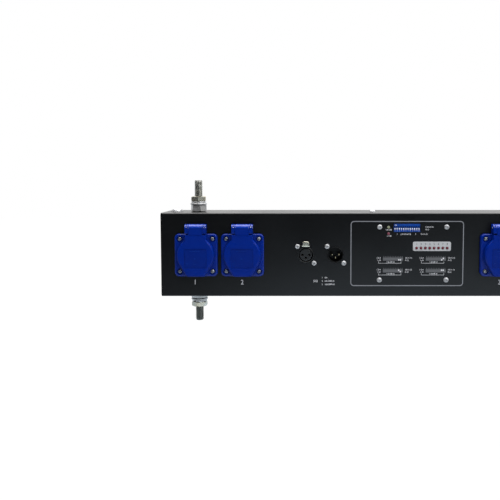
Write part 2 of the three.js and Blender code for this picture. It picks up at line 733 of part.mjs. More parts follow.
// One heat sink under the top of the bar: a plate with fins down from it, held by a screw from above
function makeHeatSink(x) {
  const x0 = x - moduleLength / 2;
  const x1 = x + moduleLength / 2;
  const y1 = trayRearY - sheet - sinkRearGap;
  const z1 = ceilingZ - fitGap;
  const plate = block([x0, panelRearY + sinkFrontGap, z1 - sinkThickness], [x1, y1, z1]);
  const fins = Array.from({ length: finCount }, (_, index) => {
    const finY = y1 - index * finPitch;
    const tipZ = z1 - sinkThickness - finHeight;
    return block([x0, finY - finThickness, tipZ], [x1, finY, z1 - sinkThickness / 2]);
  });
  const hole = rodZ(sinkScrewRadius, x, sinkScrewY, z1 - sinkThickness - overrun, z1 + overrun, smallSides);
  return cut(join([plate, ...fins]), [hole]);
}

// The stand bracket: a forked strap under the bar, joined to the sleeve, with four bolts and nuts
function makeStandBracket() {
  const strapTopZ = bottomZ - fitGap;
  const footHalf = footSpan / 2;
  const legInner = footHalf - footLength;
  const legOuter = legInner + strapThickness;
  const outline = new THREE.Shape();
  outline.moveTo(-footHalf, strapTopZ);
  outline.lineTo(-legInner, strapTopZ);
  outline.lineTo(-sleeveRadius + strapThickness, sleeveCrown);
  outline.lineTo(sleeveRadius - strapThickness, sleeveCrown);
  outline.lineTo(legInner, strapTopZ);
  outline.lineTo(footHalf, strapTopZ);
  outline.lineTo(footHalf, strapTopZ - strapThickness);
  outline.lineTo(legOuter, strapTopZ - strapThickness);
  outline.lineTo(sleeveRadius, sleeveCrown - strapThickness);
  outline.lineTo(-sleeveRadius, sleeveCrown - strapThickness);
  outline.lineTo(-legOuter, strapTopZ - strapThickness);
  outline.lineTo(-footHalf, strapTopZ - strapThickness);
  const strap = slabY(outline, 0, 0, -strapWidth / 2, strapWidth / 2, cornerSegments);
  const sleeve = turnedZ([
    [0, 0], [spigotRadius, 0], [spigotRadius, -spigotDepth],
    [sleeveRadius + mouthRim, -spigotDepth], [sleeveRadius + mouthRim, -spigotDepth + mouthRimHeight],
    [sleeveRadius, -spigotDepth + mouthRimHeight], [sleeveRadius, sleeveCrown], [0, sleeveCrown],
  ], 0, 0, wideSides);
  const insideStrapZ = strapTopZ - strapThickness / 2;
  const headZ = strapTopZ - strapThickness - bracketBoltHead;
  const bolts = [-footX, footX].flatMap((x) => row(2, bracketBoltPitch).flatMap((y) => [
    hexZ(bracketBoltAcross, x, y, headZ, insideStrapZ, true),
    rodZ(bracketBoltRadius, x, y, insideStrapZ, floorZ + 2 * bracketNutHeight, smallSides),
    hexZ(bracketBoltAcross, x, y, floorZ + fitGap, floorZ + fitGap + bracketNutHeight, true),
  ]));
  return join([strap, sleeve, ...bolts]);
}

addPiece('housing', makeHousing(), 'housing');
addPiece('rear_cover', makeRearCover(), 'housing');
socketPlaces.forEach((x, index) => {
  addPiece(`socket_${index + 1}`, makeSocket(x), 'socket');
  addPiece(`socket_lid_${index + 1}`, makeLid(x), 'socket');
});
studPlaces.forEach((x, index) => {
  addPiece(`stud_top_${index + 1}`, makeStud(x, 1, studReachAbove), 'zinc');
  addPiece(`stud_bottom_${index + 1}`, makeStud(x, -1, studReachBelow), 'zinc');
  addPiece(`nuts_top_${index + 1}`, makeNuts(x, 1), 'zinc');
  addPiece(`nuts_bottom_${index + 1}`, makeNuts(x, -1), 'zinc');
});
addPiece('signal_outlet', makeSignalOut(), 'blackPlastic');
addPiece('outlet_latch', makeLatch(), 'latch');
addPiece('signal_inlet', makeSignalIn(), 'blackPlastic');
addPiece('slide_switch', makeSwitch(), 'switchBody');
wayPlaces.forEach((x, index) => addPiece(`slider_${index + 1}`, makeSlider(x), 'white'));
addPiece('channel_strip', makeStrip(), 'strip');
addPiece('control_board', makeControlBoard(), 'board');
addPiece('mains_inlet', makeInlet(), 'blackPlastic');
['left', 'right'].forEach((side, index) => {
  addPiece(`fuse_strip_${side}`, makeFuses(fuseStrips[index]), 'white');
  addPiece(`dimmer_board_${side}`, makeDimmerBoard(modulePlaces[index]), 'board');
  addPiece(`heat_sink_${side}`, makeHeatSink(modulePlaces[index]), 'aluminium');
});
addPiece('stand_bracket', makeStandBracket(), 'housing');

export default bar;
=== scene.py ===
"""Dressed model of an eight way dimmer bar for stage lamps, in metres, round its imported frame.

X runs along the bar, the outlets face -Y, and the origin is the seat of the stand spigot.
Each surface is a function of two parameters on a grid, or an outline carried along a path.
"""

import json
import logging
from dataclasses import dataclass, field
from enum import Enum
from math import acos, cos, hypot, pi, radians, sin, sqrt, tan
from typing import Sequence

import bmesh
import bpy
import numpy as np
from mathutils.geometry import delaunay_2d_cdt
from numpy.typing import NDArray
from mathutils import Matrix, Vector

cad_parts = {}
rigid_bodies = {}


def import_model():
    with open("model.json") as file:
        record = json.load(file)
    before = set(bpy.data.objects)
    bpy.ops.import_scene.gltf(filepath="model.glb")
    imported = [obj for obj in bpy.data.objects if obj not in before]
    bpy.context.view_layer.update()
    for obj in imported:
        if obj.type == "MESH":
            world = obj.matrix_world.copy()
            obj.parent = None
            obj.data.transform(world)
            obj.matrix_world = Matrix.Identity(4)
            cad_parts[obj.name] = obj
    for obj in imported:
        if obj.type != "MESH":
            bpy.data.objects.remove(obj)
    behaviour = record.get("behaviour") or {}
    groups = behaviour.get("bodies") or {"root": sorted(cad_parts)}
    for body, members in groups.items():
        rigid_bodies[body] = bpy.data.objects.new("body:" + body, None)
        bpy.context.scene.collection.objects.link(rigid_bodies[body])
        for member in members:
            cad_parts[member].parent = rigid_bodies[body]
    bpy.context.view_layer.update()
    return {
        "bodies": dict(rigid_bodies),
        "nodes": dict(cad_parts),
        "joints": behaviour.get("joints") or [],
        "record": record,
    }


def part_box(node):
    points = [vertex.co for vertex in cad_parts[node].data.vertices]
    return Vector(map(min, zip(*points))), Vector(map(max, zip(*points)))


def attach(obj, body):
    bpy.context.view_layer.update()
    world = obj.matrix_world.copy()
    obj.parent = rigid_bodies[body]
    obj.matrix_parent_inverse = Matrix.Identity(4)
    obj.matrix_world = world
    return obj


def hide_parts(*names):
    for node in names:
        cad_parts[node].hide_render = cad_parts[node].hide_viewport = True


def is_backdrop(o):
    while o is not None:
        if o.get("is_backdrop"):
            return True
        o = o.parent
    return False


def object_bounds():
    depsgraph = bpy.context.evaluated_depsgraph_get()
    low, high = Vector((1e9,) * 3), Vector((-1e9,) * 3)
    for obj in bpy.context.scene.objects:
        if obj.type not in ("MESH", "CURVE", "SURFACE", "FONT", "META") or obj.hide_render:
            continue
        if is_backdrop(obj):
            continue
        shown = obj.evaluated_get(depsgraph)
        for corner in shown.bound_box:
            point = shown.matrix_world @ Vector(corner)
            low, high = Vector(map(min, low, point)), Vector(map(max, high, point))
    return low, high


Array = NDArray[np.float64]
Colour = tuple[float, float, float]
Place = tuple[float, float, float]
Point = tuple[float, float]
Radii = float | Sequence[float]
Sizes = tuple[float, ...]
Socket = bpy.types.NodeSocket

LOG = logging.getLogger("dimmer_bar")

ROOT_BODY = "bar"
MERGE = 1e-6                     # points closer than this become one
CREASE = radians(34)             # edges that turn more than this stay sharp
INK = 0.00005                    # thickness of a printed mark
SEAT = 0.00001                   # how far a mark reaches into what it is printed on
BOTH = (-1, 1)                   # the left or lower side, and the right or upper one
ENDS = ("left", "right")         # the same, in the names of nodes
WHITE = (1.0, 1.0, 1.0)


class Facing(Enum):
    """Where a shape drawn in X and Y, and rising in Z, is turned to look."""

    UP = ((1, 0, 0), (0, 1, 0), (0, 0, 1))
    DOWN = ((1, 0, 0), (0, -1, 0), (0, 0, -1))
    FRONT = ((1, 0, 0), (0, 0, -1), (0, 1, 0))
    REAR = ((-1, 0, 0), (0, 0, 1), (0, 1, 0))
    SIDE = ((0, 0, 1), (1, 0, 0), (0, 1, 0))


class Slot(Enum):
    """The record's material slots, one named by each piece."""

    HOUSING = "housing_paint"
    OUTLET = "socket_blue"
    ZINC = "zinc_steel"
    BLACK = "black_plastic"
    LATCH = "latch_metal"
    SWITCH = "switch_blue"
    WHITE = "white_plastic"
    STRIP = "strip_grey"
    ALUMINIUM = "aluminium"


class Shape:
    """Patches of a surface, kept as arrays until they become one piece."""

    def __init__(self) -> None:
        """Start with no patches."""
        self.points: list[Array] = []
        self.faces: list[NDArray[np.int64]] = []

    def add(self, points: Array, faces: NDArray[np.int64]) -> "Shape":
        """Add one patch.

        Args:
            points: the patch's points, as an array whose last axis is 3.
            faces: rows of indices into those points.

        Returns:
            This shape.
        """
        start = sum(len(patch) for patch in self.points)
        self.points.append(np.asarray(points, float).reshape(-1, 3))
        self.faces.append(np.asarray(faces) + start)
        return self

    def grid(self, points: Array, closed: bool = False) -> "Shape":
        """Join a (rows, columns, 3) grid of points with four-sided faces.

        Args:
            points: the grid.
            closed: whether the last column joins the first.

        Returns:
            This shape.
        """
        rows, columns = points.shape[:2]
        index = np.arange(rows * columns).reshape(rows, columns)
        if closed:
            index = np.hstack([index, index[:, :1]])
        corners = [index[:-1, :-1], index[:-1, 1:], index[1:, 1:], index[1:, :-1]]
        return self.add(points, np.stack(corners, axis=-1).reshape(-1, 4))

    def joined(self, *others: "Shape") -> "Shape":
        """Return a new shape that holds the patches of this one and of the others."""
        whole = Shape()
        for shape in (self, *others):
            start = sum(len(patch) for patch in whole.points)
            whole.points += shape.points
            whole.faces += [faces + start for faces in shape.faces]
        return whole

    def with_points(self, points: Sequence[Array]) -> "Shape":
        """Return a shape with this one's faces on other points."""
        copy = Shape()
        copy.points, copy.faces = list(points), list(self.faces)
        return copy

    def turned(self, matrix: Sequence[Sequence[float]]) -> "Shape":
        """Return a copy of the shape, turned by the rows of a 3 by 3 matrix."""
        return self.with_points([patch @ np.asarray(matrix, float).T for patch in self.points])

    def facing(self, facing: Facing) -> "Shape":
        """Return a copy of the shape that looks another way."""
        return self.turned(facing.value)

    def moved(self, x: float = 0, y: float = 0, z: float = 0) -> "Shape":
        """Return a copy of the shape, moved."""
        return self.with_points([patch + np.array([x, y, z]) for patch in self.points])

    def spun(self, angle: float) -> "Shape":
        """Return a copy of the shape, turned about Z."""
        c, s = cos(angle), sin(angle)
        return self.turned(((c, -s, 0), (s, c, 0), (0, 0, 1)))

    def repeated(self, places: Sequence[Place]) -> "Shape":
        """Return a new shape with one copy of this one at each place."""
        return Shape().joined(*[self.moved(*place) for place in places])


def unit(vectors: Array) -> Array:
    """Return vectors of length one, along the last axis."""
    return vectors / np.maximum(np.linalg.norm(vectors, axis=-1, keepdims=True), 1e-15)


def round_about(radius: Array, angle: Array, height: Array) -> Array:
    """Points round Z: (r cos a, r sin a, h)."""
    x, y = radius * np.cos(angle), radius * np.sin(angle)
    return np.stack([x, y, np.broadcast_to(height, x.shape)], axis=-1)


def one_turn(steps: int) -> Array:
    """The angles of one whole turn, without its end."""
    return np.linspace(0, 2 * pi, steps, endpoint=False)


def arc(radius: float, start: float, stop: float, steps: int, centre: Point = (0, 0)) -> Array:
    """Points of an arc from one angle to another: centre + radius (cos a, sin a)."""
    angle = np.linspace(start, stop, steps + 1)
    return np.asarray(centre) + radius * np.stack([np.cos(angle), np.sin(angle)], axis=1)


def circle(radius: float, sides: int = 48, centre: Point = (0, 0)) -> Array:
    """Points of a circle, anticlockwise."""
    return arc(radius, 0, 2 * pi, sides, centre)[:-1]


def filleted(corners: Sequence[Point], radii: Radii, steps: int = 6, closed: bool = True) -> Array:
    """Round the corners of a line with arcs that touch both of their sides.

    Each arc is the curve (a (1 - t)^2 + 2 w c t (1 - t) + b t^2) / ((1 - t)^2 + 2 w t (1 - t) + t^2),
    where c is the corner, a and b are its trimmed ends, and w is the cosine of half the turn.

    Args:
        corners: the corners in order.
        radii: one radius for all corners, or one for each.
        steps: the steps of each arc.
        closed: whether the last corner joins the first.

    Returns:
        The rounded line's points.
    """
    corner = np.asarray(corners, float)
    into = unit(corner - np.roll(corner, 1, axis=0))
    out = unit(np.roll(corner, -1, axis=0) - corner)
    turn = np.arccos(np.clip(np.sum(into * out, axis=1), -1, 1))
    trim = np.broadcast_to(np.asarray(radii, float), turn.shape) * np.tan(turn / 2)
    if not closed:
        trim = trim * np.r_[0, np.ones(len(turn) - 2), 0]
    a = (corner - into * trim[:, None])[:, None]
    b = (corner + out * trim[:, None])[:, None]
    t = np.linspace(0, 1, steps + 1)[None, :, None]
    w = np.cos(turn / 2)[:, None, None]
    weight = (1 - t) ** 2 + 2 * w * t * (1 - t) + t**2
    points = ((a * (1 - t) ** 2 + 2 * w * corner[:, None] * t * (1 - t) + b * t**2) / weight).reshape(-1, 2)
    keep = np.linalg.norm(points - np.roll(points, 1, axis=0), axis=1) > MERGE
    if not closed:
        keep[0] = True
    return points[keep]


def in_a_row(count: int, pitch: float) -> list[float]:
    """Places of things in a row, from the row's middle."""
    return [(index - (count - 1) / 2) * pitch for index in range(count)]


def rectangle(width: float, height: float, corner: float = 0, centre: Point = (0, 0)) -> Array:
    """Points of a rectangle with round corners, anticlockwise about its centre."""
    x, y = width / 2, height / 2
    return np.asarray(centre) + filleted([(x, -y), (x, y), (-x, y), (-x, -y)], corner)


def mitre(after: Array, before: Array) -> Array:
    """How far a corner moves for a depth of one: (m + n) / (1 + m n), m and n being left of its sides."""
    left = np.stack([-after[:, 1], after[:, 0]], axis=1)
    left_before = np.stack([-before[:, 1], before[:, 0]], axis=1)
    return (left + left_before) / (1 + np.sum(left * left_before, axis=1, keepdims=True))


def inset(loop: Array, depth: float, shares: Array | float = 1.0) -> Array:
    """Move a closed outline to its left by a depth, each point along the mitre of its two sides.

    Args:
        loop: the outline, anticlockwise.
        depth: how far its points move.
        shares: the share of the depth that each point takes.

    Returns:
        The moved outline.
    """
    if depth == 0:
        return loop
    after = unit(np.roll(loop, -1, axis=0) - loop)
    return loop + depth * np.reshape(shares, (-1, 1)) * mitre(after, np.roll(after, 1, axis=0))


def lifted(loop: Array, height: float) -> Array:
    """Give an outline a height in Z."""
    return np.column_stack([loop, np.full(len(loop), height)])


def edge_rows(thickness: float, front: float = 0, back: float = 0, steps: int = 4) -> list[Point]:
    """Insets and heights of a plate's edge, from its back to its front, with quarter round edges."""
    angle = np.linspace(0, pi / 2, steps + 1)
    flat, steep = 1 - np.sin(angle), 1 - np.cos(angle)
    rows = list(zip(back * flat, back * steep)) if back > 0 else [(0.0, 0.0)]
    return rows + (list(zip(front * steep, thickness - front * flat)) if front > 0 else [(0.0, thickness)])


def wall(loop: Array, rows: Sequence[Point], shares: Array | float = 1.0) -> Array:
    """The grid of an outline that is carried through rows of inset and height."""
    return np.stack([lifted(inset(loop, depth, shares), height) for depth, height in rows])


def cap(loops: Sequence[Array], height: float, lines: Sequence[tuple[int, int]] = ()) -> tuple[Array, Array]:
    """Fill the space between outlines with triangles, leaving the holes open.

    A triangle is kept if a ray from its middle crosses the outlines an odd number of times.

    Args:
        loops: closed outlines, the outer ones and the holes.
        height: the height of the flat surface.
        lines: further pairs of points that triangles must not cross.

    Returns:
        The points and the triangles.
    """
    points = np.concatenate(loops)
    starts = np.cumsum([0] + [len(loop) for loop in loops[:-1]])
    edges = np.concatenate([
        np.stack([start + np.arange(len(loop)), start + (np.arange(len(loop)) + 1) % len(loop)], axis=1)
        for start, loop in zip(starts, loops)
    ])
    forced = edges.tolist() + [list(line) for line in lines]
    found = delaunay_2d_cdt(points.tolist(), forced, [], 0, 1e-9)
    flat, triangles = np.array([tuple(point) for point in found[0]]), np.array(found[2])
    middle = flat[triangles].mean(axis=1)
    p, q = points[edges[:, 0]], points[edges[:, 1]]
    level = middle[:, None, 1]
    spans = (p[None, :, 1] > level) != (q[None, :, 1] > level)
    rise = np.where(q[:, 1] == p[:, 1], 1, q[:, 1] - p[:, 1])
    crossing = p[None, :, 0] + (level - p[None, :, 1]) * ((q[:, 0] - p[:, 0]) / rise)[None, :]
    inside = np.sum(spans & (crossing > middle[:, None, 0]), axis=1) % 2 == 1
    return lifted(flat, height), triangles[inside]


def sink(shape: Shape, pockets: Sequence[tuple[Array, float]], front: float) -> Shape:
    """Add the walls and floors of pockets, each an outline and its depth below a flat front."""
    for outline, depth in pockets:
        shape.grid(wall(outline, [(0, front), (0, front - depth)]), closed=True)
        shape.add(*cap([outline], front - depth))
    return shape


def plate(loops: Sequence[Array], rows: Sequence[Point], pockets: Sequence[tuple[Array, float]] = (),
          lines: Sequence[tuple[int, int]] = (), shares: Array | float = 1.0) -> Shape:
    """Close a flat plate with round edges, holes and pockets.

    Each outline is carried through rows of inset and height, and both ends are capped.

    Args:
        loops: outlines, the outer ones anticlockwise and the holes clockwise.
        rows: insets and heights from the back to the front.
        pockets: outlines of pockets in the front, each with its depth.
        lines: pairs of points of the outlines that a fold runs between.
        shares: the share of each inset that the points of an outline take.

    Returns:
        The closed shape.
    """
    shape = Shape()
    for loop in loops:
        shape.grid(wall(loop, rows, shares), closed=True)
    backs, fronts = ([inset(loop, row[0], shares) for loop in loops] for row in (rows[0], rows[-1]))
    shape.add(*cap(backs, rows[0][1], lines))
    shape.add(*cap(fronts + [pocket for pocket, _ in pockets], rows[-1][1], lines))
    return sink(shape, pockets, rows[-1][1])


def revolved(profile: Array | Sequence[Point], sides: int = 48) -> Shape:
    """Turn a line of radius and height pairs about Z: (r cos a, r sin a, h)."""
    line = np.asarray(profile, float)
    return Shape().grid(round_about(line[:, :1], one_turn(sides), line[:, 1:]), closed=True)


def lathed(corners: Sequence[Point], radii: Radii, steps: int, sides: int) -> Shape:
    """Turn a line of radius and height pairs about Z, with its corners rounded."""
    return revolved(filleted(corners, radii, steps, closed=False), sides)


def pin(radius: float, base: float, tip: float, rounding: float, steps: int = 5, sides: int = 20) -> Shape:
    """A round pin from its base up to its rounded tip."""
    return lathed([(0, base), (radius, base), (radius, tip), (0, tip)], [0, 0, rounding, 0], steps, sides)


def turned_ring(corners: Sequence[Point], radii: Radii, steps: int, sides: int) -> Shape:
    """Turn a closed outline of radius and height pairs about Z, with its corners rounded."""
    line = filleted(corners, radii, steps)
    return revolved(np.concatenate([line, line[:1]]), sides)


def swept(section: Array, path: Array, up: Place) -> Shape:
    """Carry a section along a path: path + u side + v rise.

    The side is the cross product of the upward direction and the path's direction, and the rise
    is square to both.

    Args:
        section: outline of the section, anticlockwise.
        path: the points that it is carried along.
        up: a direction that the path never takes.

    Returns:
        The closed shape.
    """
    along = unit(np.gradient(path, axis=0))
    side = unit(np.cross(np.broadcast_to(np.asarray(up, float), along.shape), along))
    rise = np.cross(along, side)
    rings = path[:, None] + section[None, :, :1] * side[:, None] + section[None, :, 1:] * rise[:, None]
    triangles = cap([section], 0)[1]
    return Shape().grid(rings, closed=True).add(rings[0], triangles).add(rings[-1], triangles)


def threaded_rod(radius: float, depth: float, pitch: float, length: float, chamfer: float) -> Shape:
    """A right-hand thread on a round rod that rises in Z.

    The radius is R - depth tooth(height / pitch - angle / 2 pi), where tooth is a clipped triangle
    wave, and no point stands outside the cone of the chamfered tip.
    """
    sides, per_pitch, steepness, crest = 28, 8, 1.5, 0.25
    height = np.linspace(0, length, int(length / pitch * per_pitch) + 1)[:, None]
    angle = one_turn(sides)[None, :]
    phase = height / pitch - angle / (2 * pi)
    tooth = np.clip(steepness * np.abs(2 * (phase - np.floor(phase)) - 1) - crest, 0, 1)
    wall_radius = np.minimum(radius - depth * tooth, radius - chamfer + length - height)
    shank = round_about(wall_radius, angle, height)
    low, high = shank[:1] * (0, 0, 1), shank[-1:] * (0, 0, 1)
    return Shape().grid(np.concatenate([low, shank, high]), closed=True)


def hexagon(across: float, bore: float, height: float) -> Shape:
    """A hexagonal nut with chamfered corners, or a head if its bore is zero.

    At an angle a the wall stands at w(a) = (across / 2) / cos(a'), a' being the angle from the nearest
    flat, and its corners are cut by a cone of 30 degrees, so the wall ends at height - (w - face) tan 30.
    """
    per_flat, face_share, cone = 8, 0.47, radians(30)
    lead = min(0.0005, bore)
    angle = one_turn(6 * per_flat)
    side = (across / 2) / np.cos((angle + pi / 6) % (pi / 3) - pi / 6)
    flat = np.zeros_like(side)
    face = flat + face_share * across
    drop = np.maximum(side - face, 0) * tan(cone)
    rows = [
        (bore + lead, 0), (face, 0), (side, drop), (side, height - drop), (face, height),
        (bore + lead, height), (bore, height - lead), (bore, lead), (bore + lead, 0),
    ]
    r, z = (np.stack([flat + row[axis] for row in rows]) for axis in (0, 1))
    return Shape().grid(round_about(r, angle, z), closed=True)


def washer(radius: float, bore: float, height: float) -> Shape:
    """A plain washer, turned from a rectangle with soft corners of a quarter of its height."""
    return turned_ring([(bore, 0), (radius, 0), (radius, height), (bore, height)], height * 0.25, 3, 48)


def split_washer(radius: float, bore: float, height: float) -> Shape:
    """A spring washer: a square section carried round most of a turn while it climbs a little."""
    half_gap, climb_share, corner_share, steps = radians(9), 0.14, 0.18, 56
    climb = height * climb_share
    middle = (radius + bore) / 2
    angle = np.linspace(half_gap, 2 * pi - half_gap, steps)
    rise = (height - climb) / 2 + climb * np.linspace(0, 1, steps)
    section = rectangle(radius - bore, height - climb, height * corner_share)
    return swept(section, round_about(middle, angle, rise), (0, 0, 1))


def screw_head(radius: float, height: float, drive: float = 0.55, depth: float = 0.6) -> Shape:
    """A domed head with a cross in it, on a square grid that is drawn out to a disc.

    A grid point (u, v) lies at radius (u sqrt(1 - v^2 / 2), v sqrt(1 - u^2 / 2)), and its height is
    height (1 - p^4)^0.5, p being its distance from the middle as a share of the radius. Inside the cross,
    where |u| < w and |v| < l or the other way round, the surface is sunk, most in the middle.

    Args:
        radius: radius of the head.
        height: height of the head above its seat.
        drive: length of the cross as a share of the head's diameter.
        depth: depth of the cross as a share of the height.

    Returns:
        The closed shape.
    """
    half, step, shallower, close = 0.17, 0.035, 0.35, 1e-9
    lines = [0, half, half + step, drive, drive + step, 0.78, 0.9, 0.97, 1]
    across = np.array([-line for line in reversed(lines[1:])] + lines)
    u, v = np.meshgrid(across, across)
    x, y = u * np.sqrt(1 - v**2 / 2), v * np.sqrt(1 - u**2 / 2)
    dome = height * np.sqrt(1 - np.clip(x**2 + y**2, 0, 1) ** 2)
    low, high = np.minimum(np.abs(u), np.abs(v)), np.maximum(np.abs(u), np.abs(v))
    sunk = (low <= half + close) & (high <= drive + close)
    top = dome - np.where(sunk, depth * height * (1 - shallower * high / drive), 0)
    shape = Shape().grid(np.stack([radius * x, radius * y, top], axis=-1))
    return shape.grid(np.stack([radius * x, radius * y, 0 * x], axis=-1))


def lettering(text: str, height: float, squeeze: float = 0.85, bold: float = 0.012,
              from_left: bool = False) -> Shape:
    """Plain figures as thin raised shapes, centred on the origin or starting there.

    Args:
        text: the figures.
        height: their height.
        squeeze: how far they are narrowed.
        bold: how far their strokes are widened, as a share of the height.
        from_left: whether they start at the origin.

    Returns:
        The closed shape.
    """
    curve = bpy.data.curves.new("figures", "FONT")
    curve.body, curve.extrude, curve.resolution_u, curve.offset = text, 0.5, 3, bold
    holder = bpy.data.objects.new("figures", curve)
    bpy.context.scene.collection.objects.link(holder)
    graph = bpy.context.evaluated_depsgraph_get()
    mesh = bpy.data.meshes.new_from_object(holder.evaluated_get(graph))
    mesh.calc_loop_triangles()
    points = np.empty(3 * len(mesh.vertices), np.float32)
    mesh.vertices.foreach_get("co", points)
    triangles = np.empty(3 * len(mesh.loop_triangles), np.int32)
    mesh.loop_triangles.foreach_get("vertices", triangles)
    bpy.data.meshes.remove(mesh)
    bpy.data.objects.remove(holder)
    bpy.data.curves.remove(curve)
    points = points.reshape(-1, 3).astype(float)
    low, high = points.min(axis=0), points.max(axis=0)
    scale = height / (high[1] - low[1])
    start = (low + high) / 2
    if from_left:
        start[0] = low[0]
    points = (points - start) * (scale * squeeze, scale, INK) + (0, 0, INK / 2)
    return Shape().add(points, triangles.reshape(-1, 3).astype(np.int64))


@dataclass(frozen=True)
class BentSheet:
    """A folded metal sheet, drawn as a flat pattern and then bent.

    Attributes:
        corners: corners of the outer face across the folds, with the inner face on their right.
        radius: outer radius of each bend.
        thickness: thickness of the sheet.
        steps: steps of each bend.
    """

    corners: tuple[Point, ...]
    radius: float
    thickness: float
    steps: int = 6

    def outer(self) -> Array:
        """Points of the outer face across the folds."""
        return filleted(self.corners, self.radius, self.steps, closed=False)

    def inner(self) -> Array:
        """Points of the inner face, each across the sheet from one of the outer face."""
        line = self.outer()
        sides = unit(np.diff(line, axis=0))
        before, after = np.vstack([sides[:1], sides]), np.vstack([sides, sides[-1:]])
        return line - self.thickness * mitre(after, before)

    def stations(self) -> Array:
        """Distance of each outer point from the first, along the pattern."""
        steps = np.linalg.norm(np.diff(self.outer(), axis=0), axis=1)
        return np.concatenate([[0], np.cumsum(steps)])

    def station(self, p: float, q: float) -> float:
        """Distance along the pattern of the outer face's point nearest to (p, q)."""
        line = self.outer()
        start, step = line[:-1], np.diff(line, axis=0)
        length = np.sum(step**2, axis=1)
        share = np.clip(np.sum((np.array([p, q]) - start) * step, axis=1) / length, 0, 1)
        away = np.linalg.norm(start + share[:, None] * step - (p, q), axis=1)
        nearest = int(np.argmin(away))
        return float(self.stations()[nearest] + share[nearest] * sqrt(length[nearest]))

    def folded(self, low: float, high: float, holes: Sequence[Array] = (), relief: float = 0) -> Shape:
        """Fold the pattern: a point (u, s, d) goes to u, and to the outer face at s moved inwards by d.

        Args:
            low: one end across the pattern.
            high: the other end.
            holes: outlines of holes in the flat pattern, clockwise.
            relief: how far the ends of each bend are notched.

        Returns:
            The closed shape, with u first and the two folded axes after it.
        """
        s = self.stations()
        order = (np.arange(len(s)) - 1) % (self.steps + 1)
        bent = (order > 0) & (order < self.steps)
        bent[0] = bent[-1] = False
        notch = np.where(bent, relief, 0)
        right, left = np.stack([high - notch, s], axis=1), np.stack([low + notch, s], axis=1)
        last = 2 * len(s) - 1
        lines = [(index, last - index) for index in range(1, len(s) - 1)]
        outline = np.concatenate([right, left[::-1]])
        flat = plate([outline, *holes], [(0, 0), (0, self.thickness)], lines=lines)
        outer, inner = self.outer(), self.inner()
        patches = []
        for patch in flat.points:
            share = patch[:, 2] / self.thickness
            sides = [
                np.interp(patch[:, 1], s, outer[:, axis]) * (1 - share)
                + np.interp(patch[:, 1], s, inner[:, axis]) * share
                for axis in (0, 1)
            ]
            patches.append(np.stack([patch[:, 0], *sides], axis=1))
        return flat.with_points(patches)


class Graph:
    """The nodes of a material or of the world, with short ways to add the usual ones."""

    def __init__(self, owner: bpy.types.ID, coordinates: str = "Object") -> None:
        """Empty the owner's nodes, and let its patterns follow its own coordinates."""
        owner.use_nodes = True
        self.tree = owner.node_tree
        self.tree.nodes.clear()
        self.place = self.node("ShaderNodeTexCoord").outputs[coordinates]

    def node(self, kind: str, inputs: dict | None = None, **settings: object) -> bpy.types.Node:
        """Add a node.

        Args:
            kind: the node's type.
            inputs: values or sockets by the name or number of an input.
            settings: the node's own settings.

        Returns:
            The node.
        """
        node = self.tree.nodes.new(kind)
        for name, value in settings.items():
            setattr(node, name, value)
        for name, value in (inputs or {}).items():
            if isinstance(value, Socket):
                self.tree.links.new(value, node.inputs[name])
            else:
                node.inputs[name].default_value = value
        return node

    def stretched(self, x: float, y: float, z: float) -> Socket:
        """The piece's coordinates, scaled along each axis."""
        inputs = {"Vector": self.place, "Scale": (x, y, z)}
        return self.node("ShaderNodeMapping", inputs).outputs["Vector"]

    def noise(self, scale: float, detail: float = 2, vector: Socket | None = None) -> Socket:
        """Cloudy noise, with its scale in cells to the metre."""
        inputs = {"Vector": vector or self.place, "Scale": scale, "Detail": detail}
        return self.node("ShaderNodeTexNoise", inputs).outputs["Fac"]

    def spread(self, value: Socket, low: float, high: float, start: float = 0.3, stop: float = 0.7) -> Socket:
        """Map a value from start and stop to low and high, and keep it inside."""
        inputs = {"Value": value, "From Min": start, "From Max": stop, "To Min": low, "To Max": high}
        return self.node("ShaderNodeMapRange", inputs).outputs["Result"]

    def mixed(self, share: Socket | float, first: Colour | Socket, second: Colour | Socket) -> Socket:
        """Mix two colours."""
        first, second = (
            colour if isinstance(colour, Socket) else (*colour, 1.0) for colour in (first, second))
        return self.node("ShaderNodeMix", {0: share, 6: first, 7: second}, data_type="RGBA").outputs[2]

    def blend(self, share: Socket, first: Socket | float, second: Socket | float) -> Socket:
        """Mix two values."""
        return self.node("ShaderNodeMix", {0: share, 2: first, 3: second}).outputs[0]

    def maths(self, operation: str, first: Socket | float, second: Socket | float) -> Socket:
        """Work out one value from two."""
        return self.node("ShaderNodeMath", {0: first, 1: second}, operation=operation).outputs[0]

    def bump(self, height: Socket, distance: float, normal: Socket | None = None) -> Socket:
        """Turn a height into a bumpy normal."""
        inputs = {"Height": height, "Distance": distance, "Strength": 1.0}
        if normal is not None:
            inputs["Normal"] = normal
        return self.node("ShaderNodeBump", inputs).outputs["Normal"]


@dataclass(frozen=True)
class Coating:
    """What every finish has: a name, a colour, and the shade that the colour is clouded with."""

    name: str
    colour: Colour
    shade: Colour

    def material(self) -> bpy.types.Material:
        """Build the material."""
        material = bpy.data.materials.new(self.name)
        graph = Graph(material)
        inputs = {"Metallic": 0.0, **self.surface(graph)}
        shader = graph.node("ShaderNodeBsdfPrincipled", inputs)
        graph.node("ShaderNodeOutputMaterial", {"Surface": shader.outputs["BSDF"]})
        return material

    def clouded(self, graph: Graph, share: Socket, start: float = 0.3, stop: float = 0.7) -> Socket:
        """The colour, with the shade where a pattern lies above its start."""
        return graph.mixed(graph.spread(share, 0, 1, start, stop), self.colour, self.shade)

    def surface(self, graph: Graph) -> dict[str, object]:
        """Add the finish's own nodes, and return what the surface shader takes."""
        raise NotImplementedError


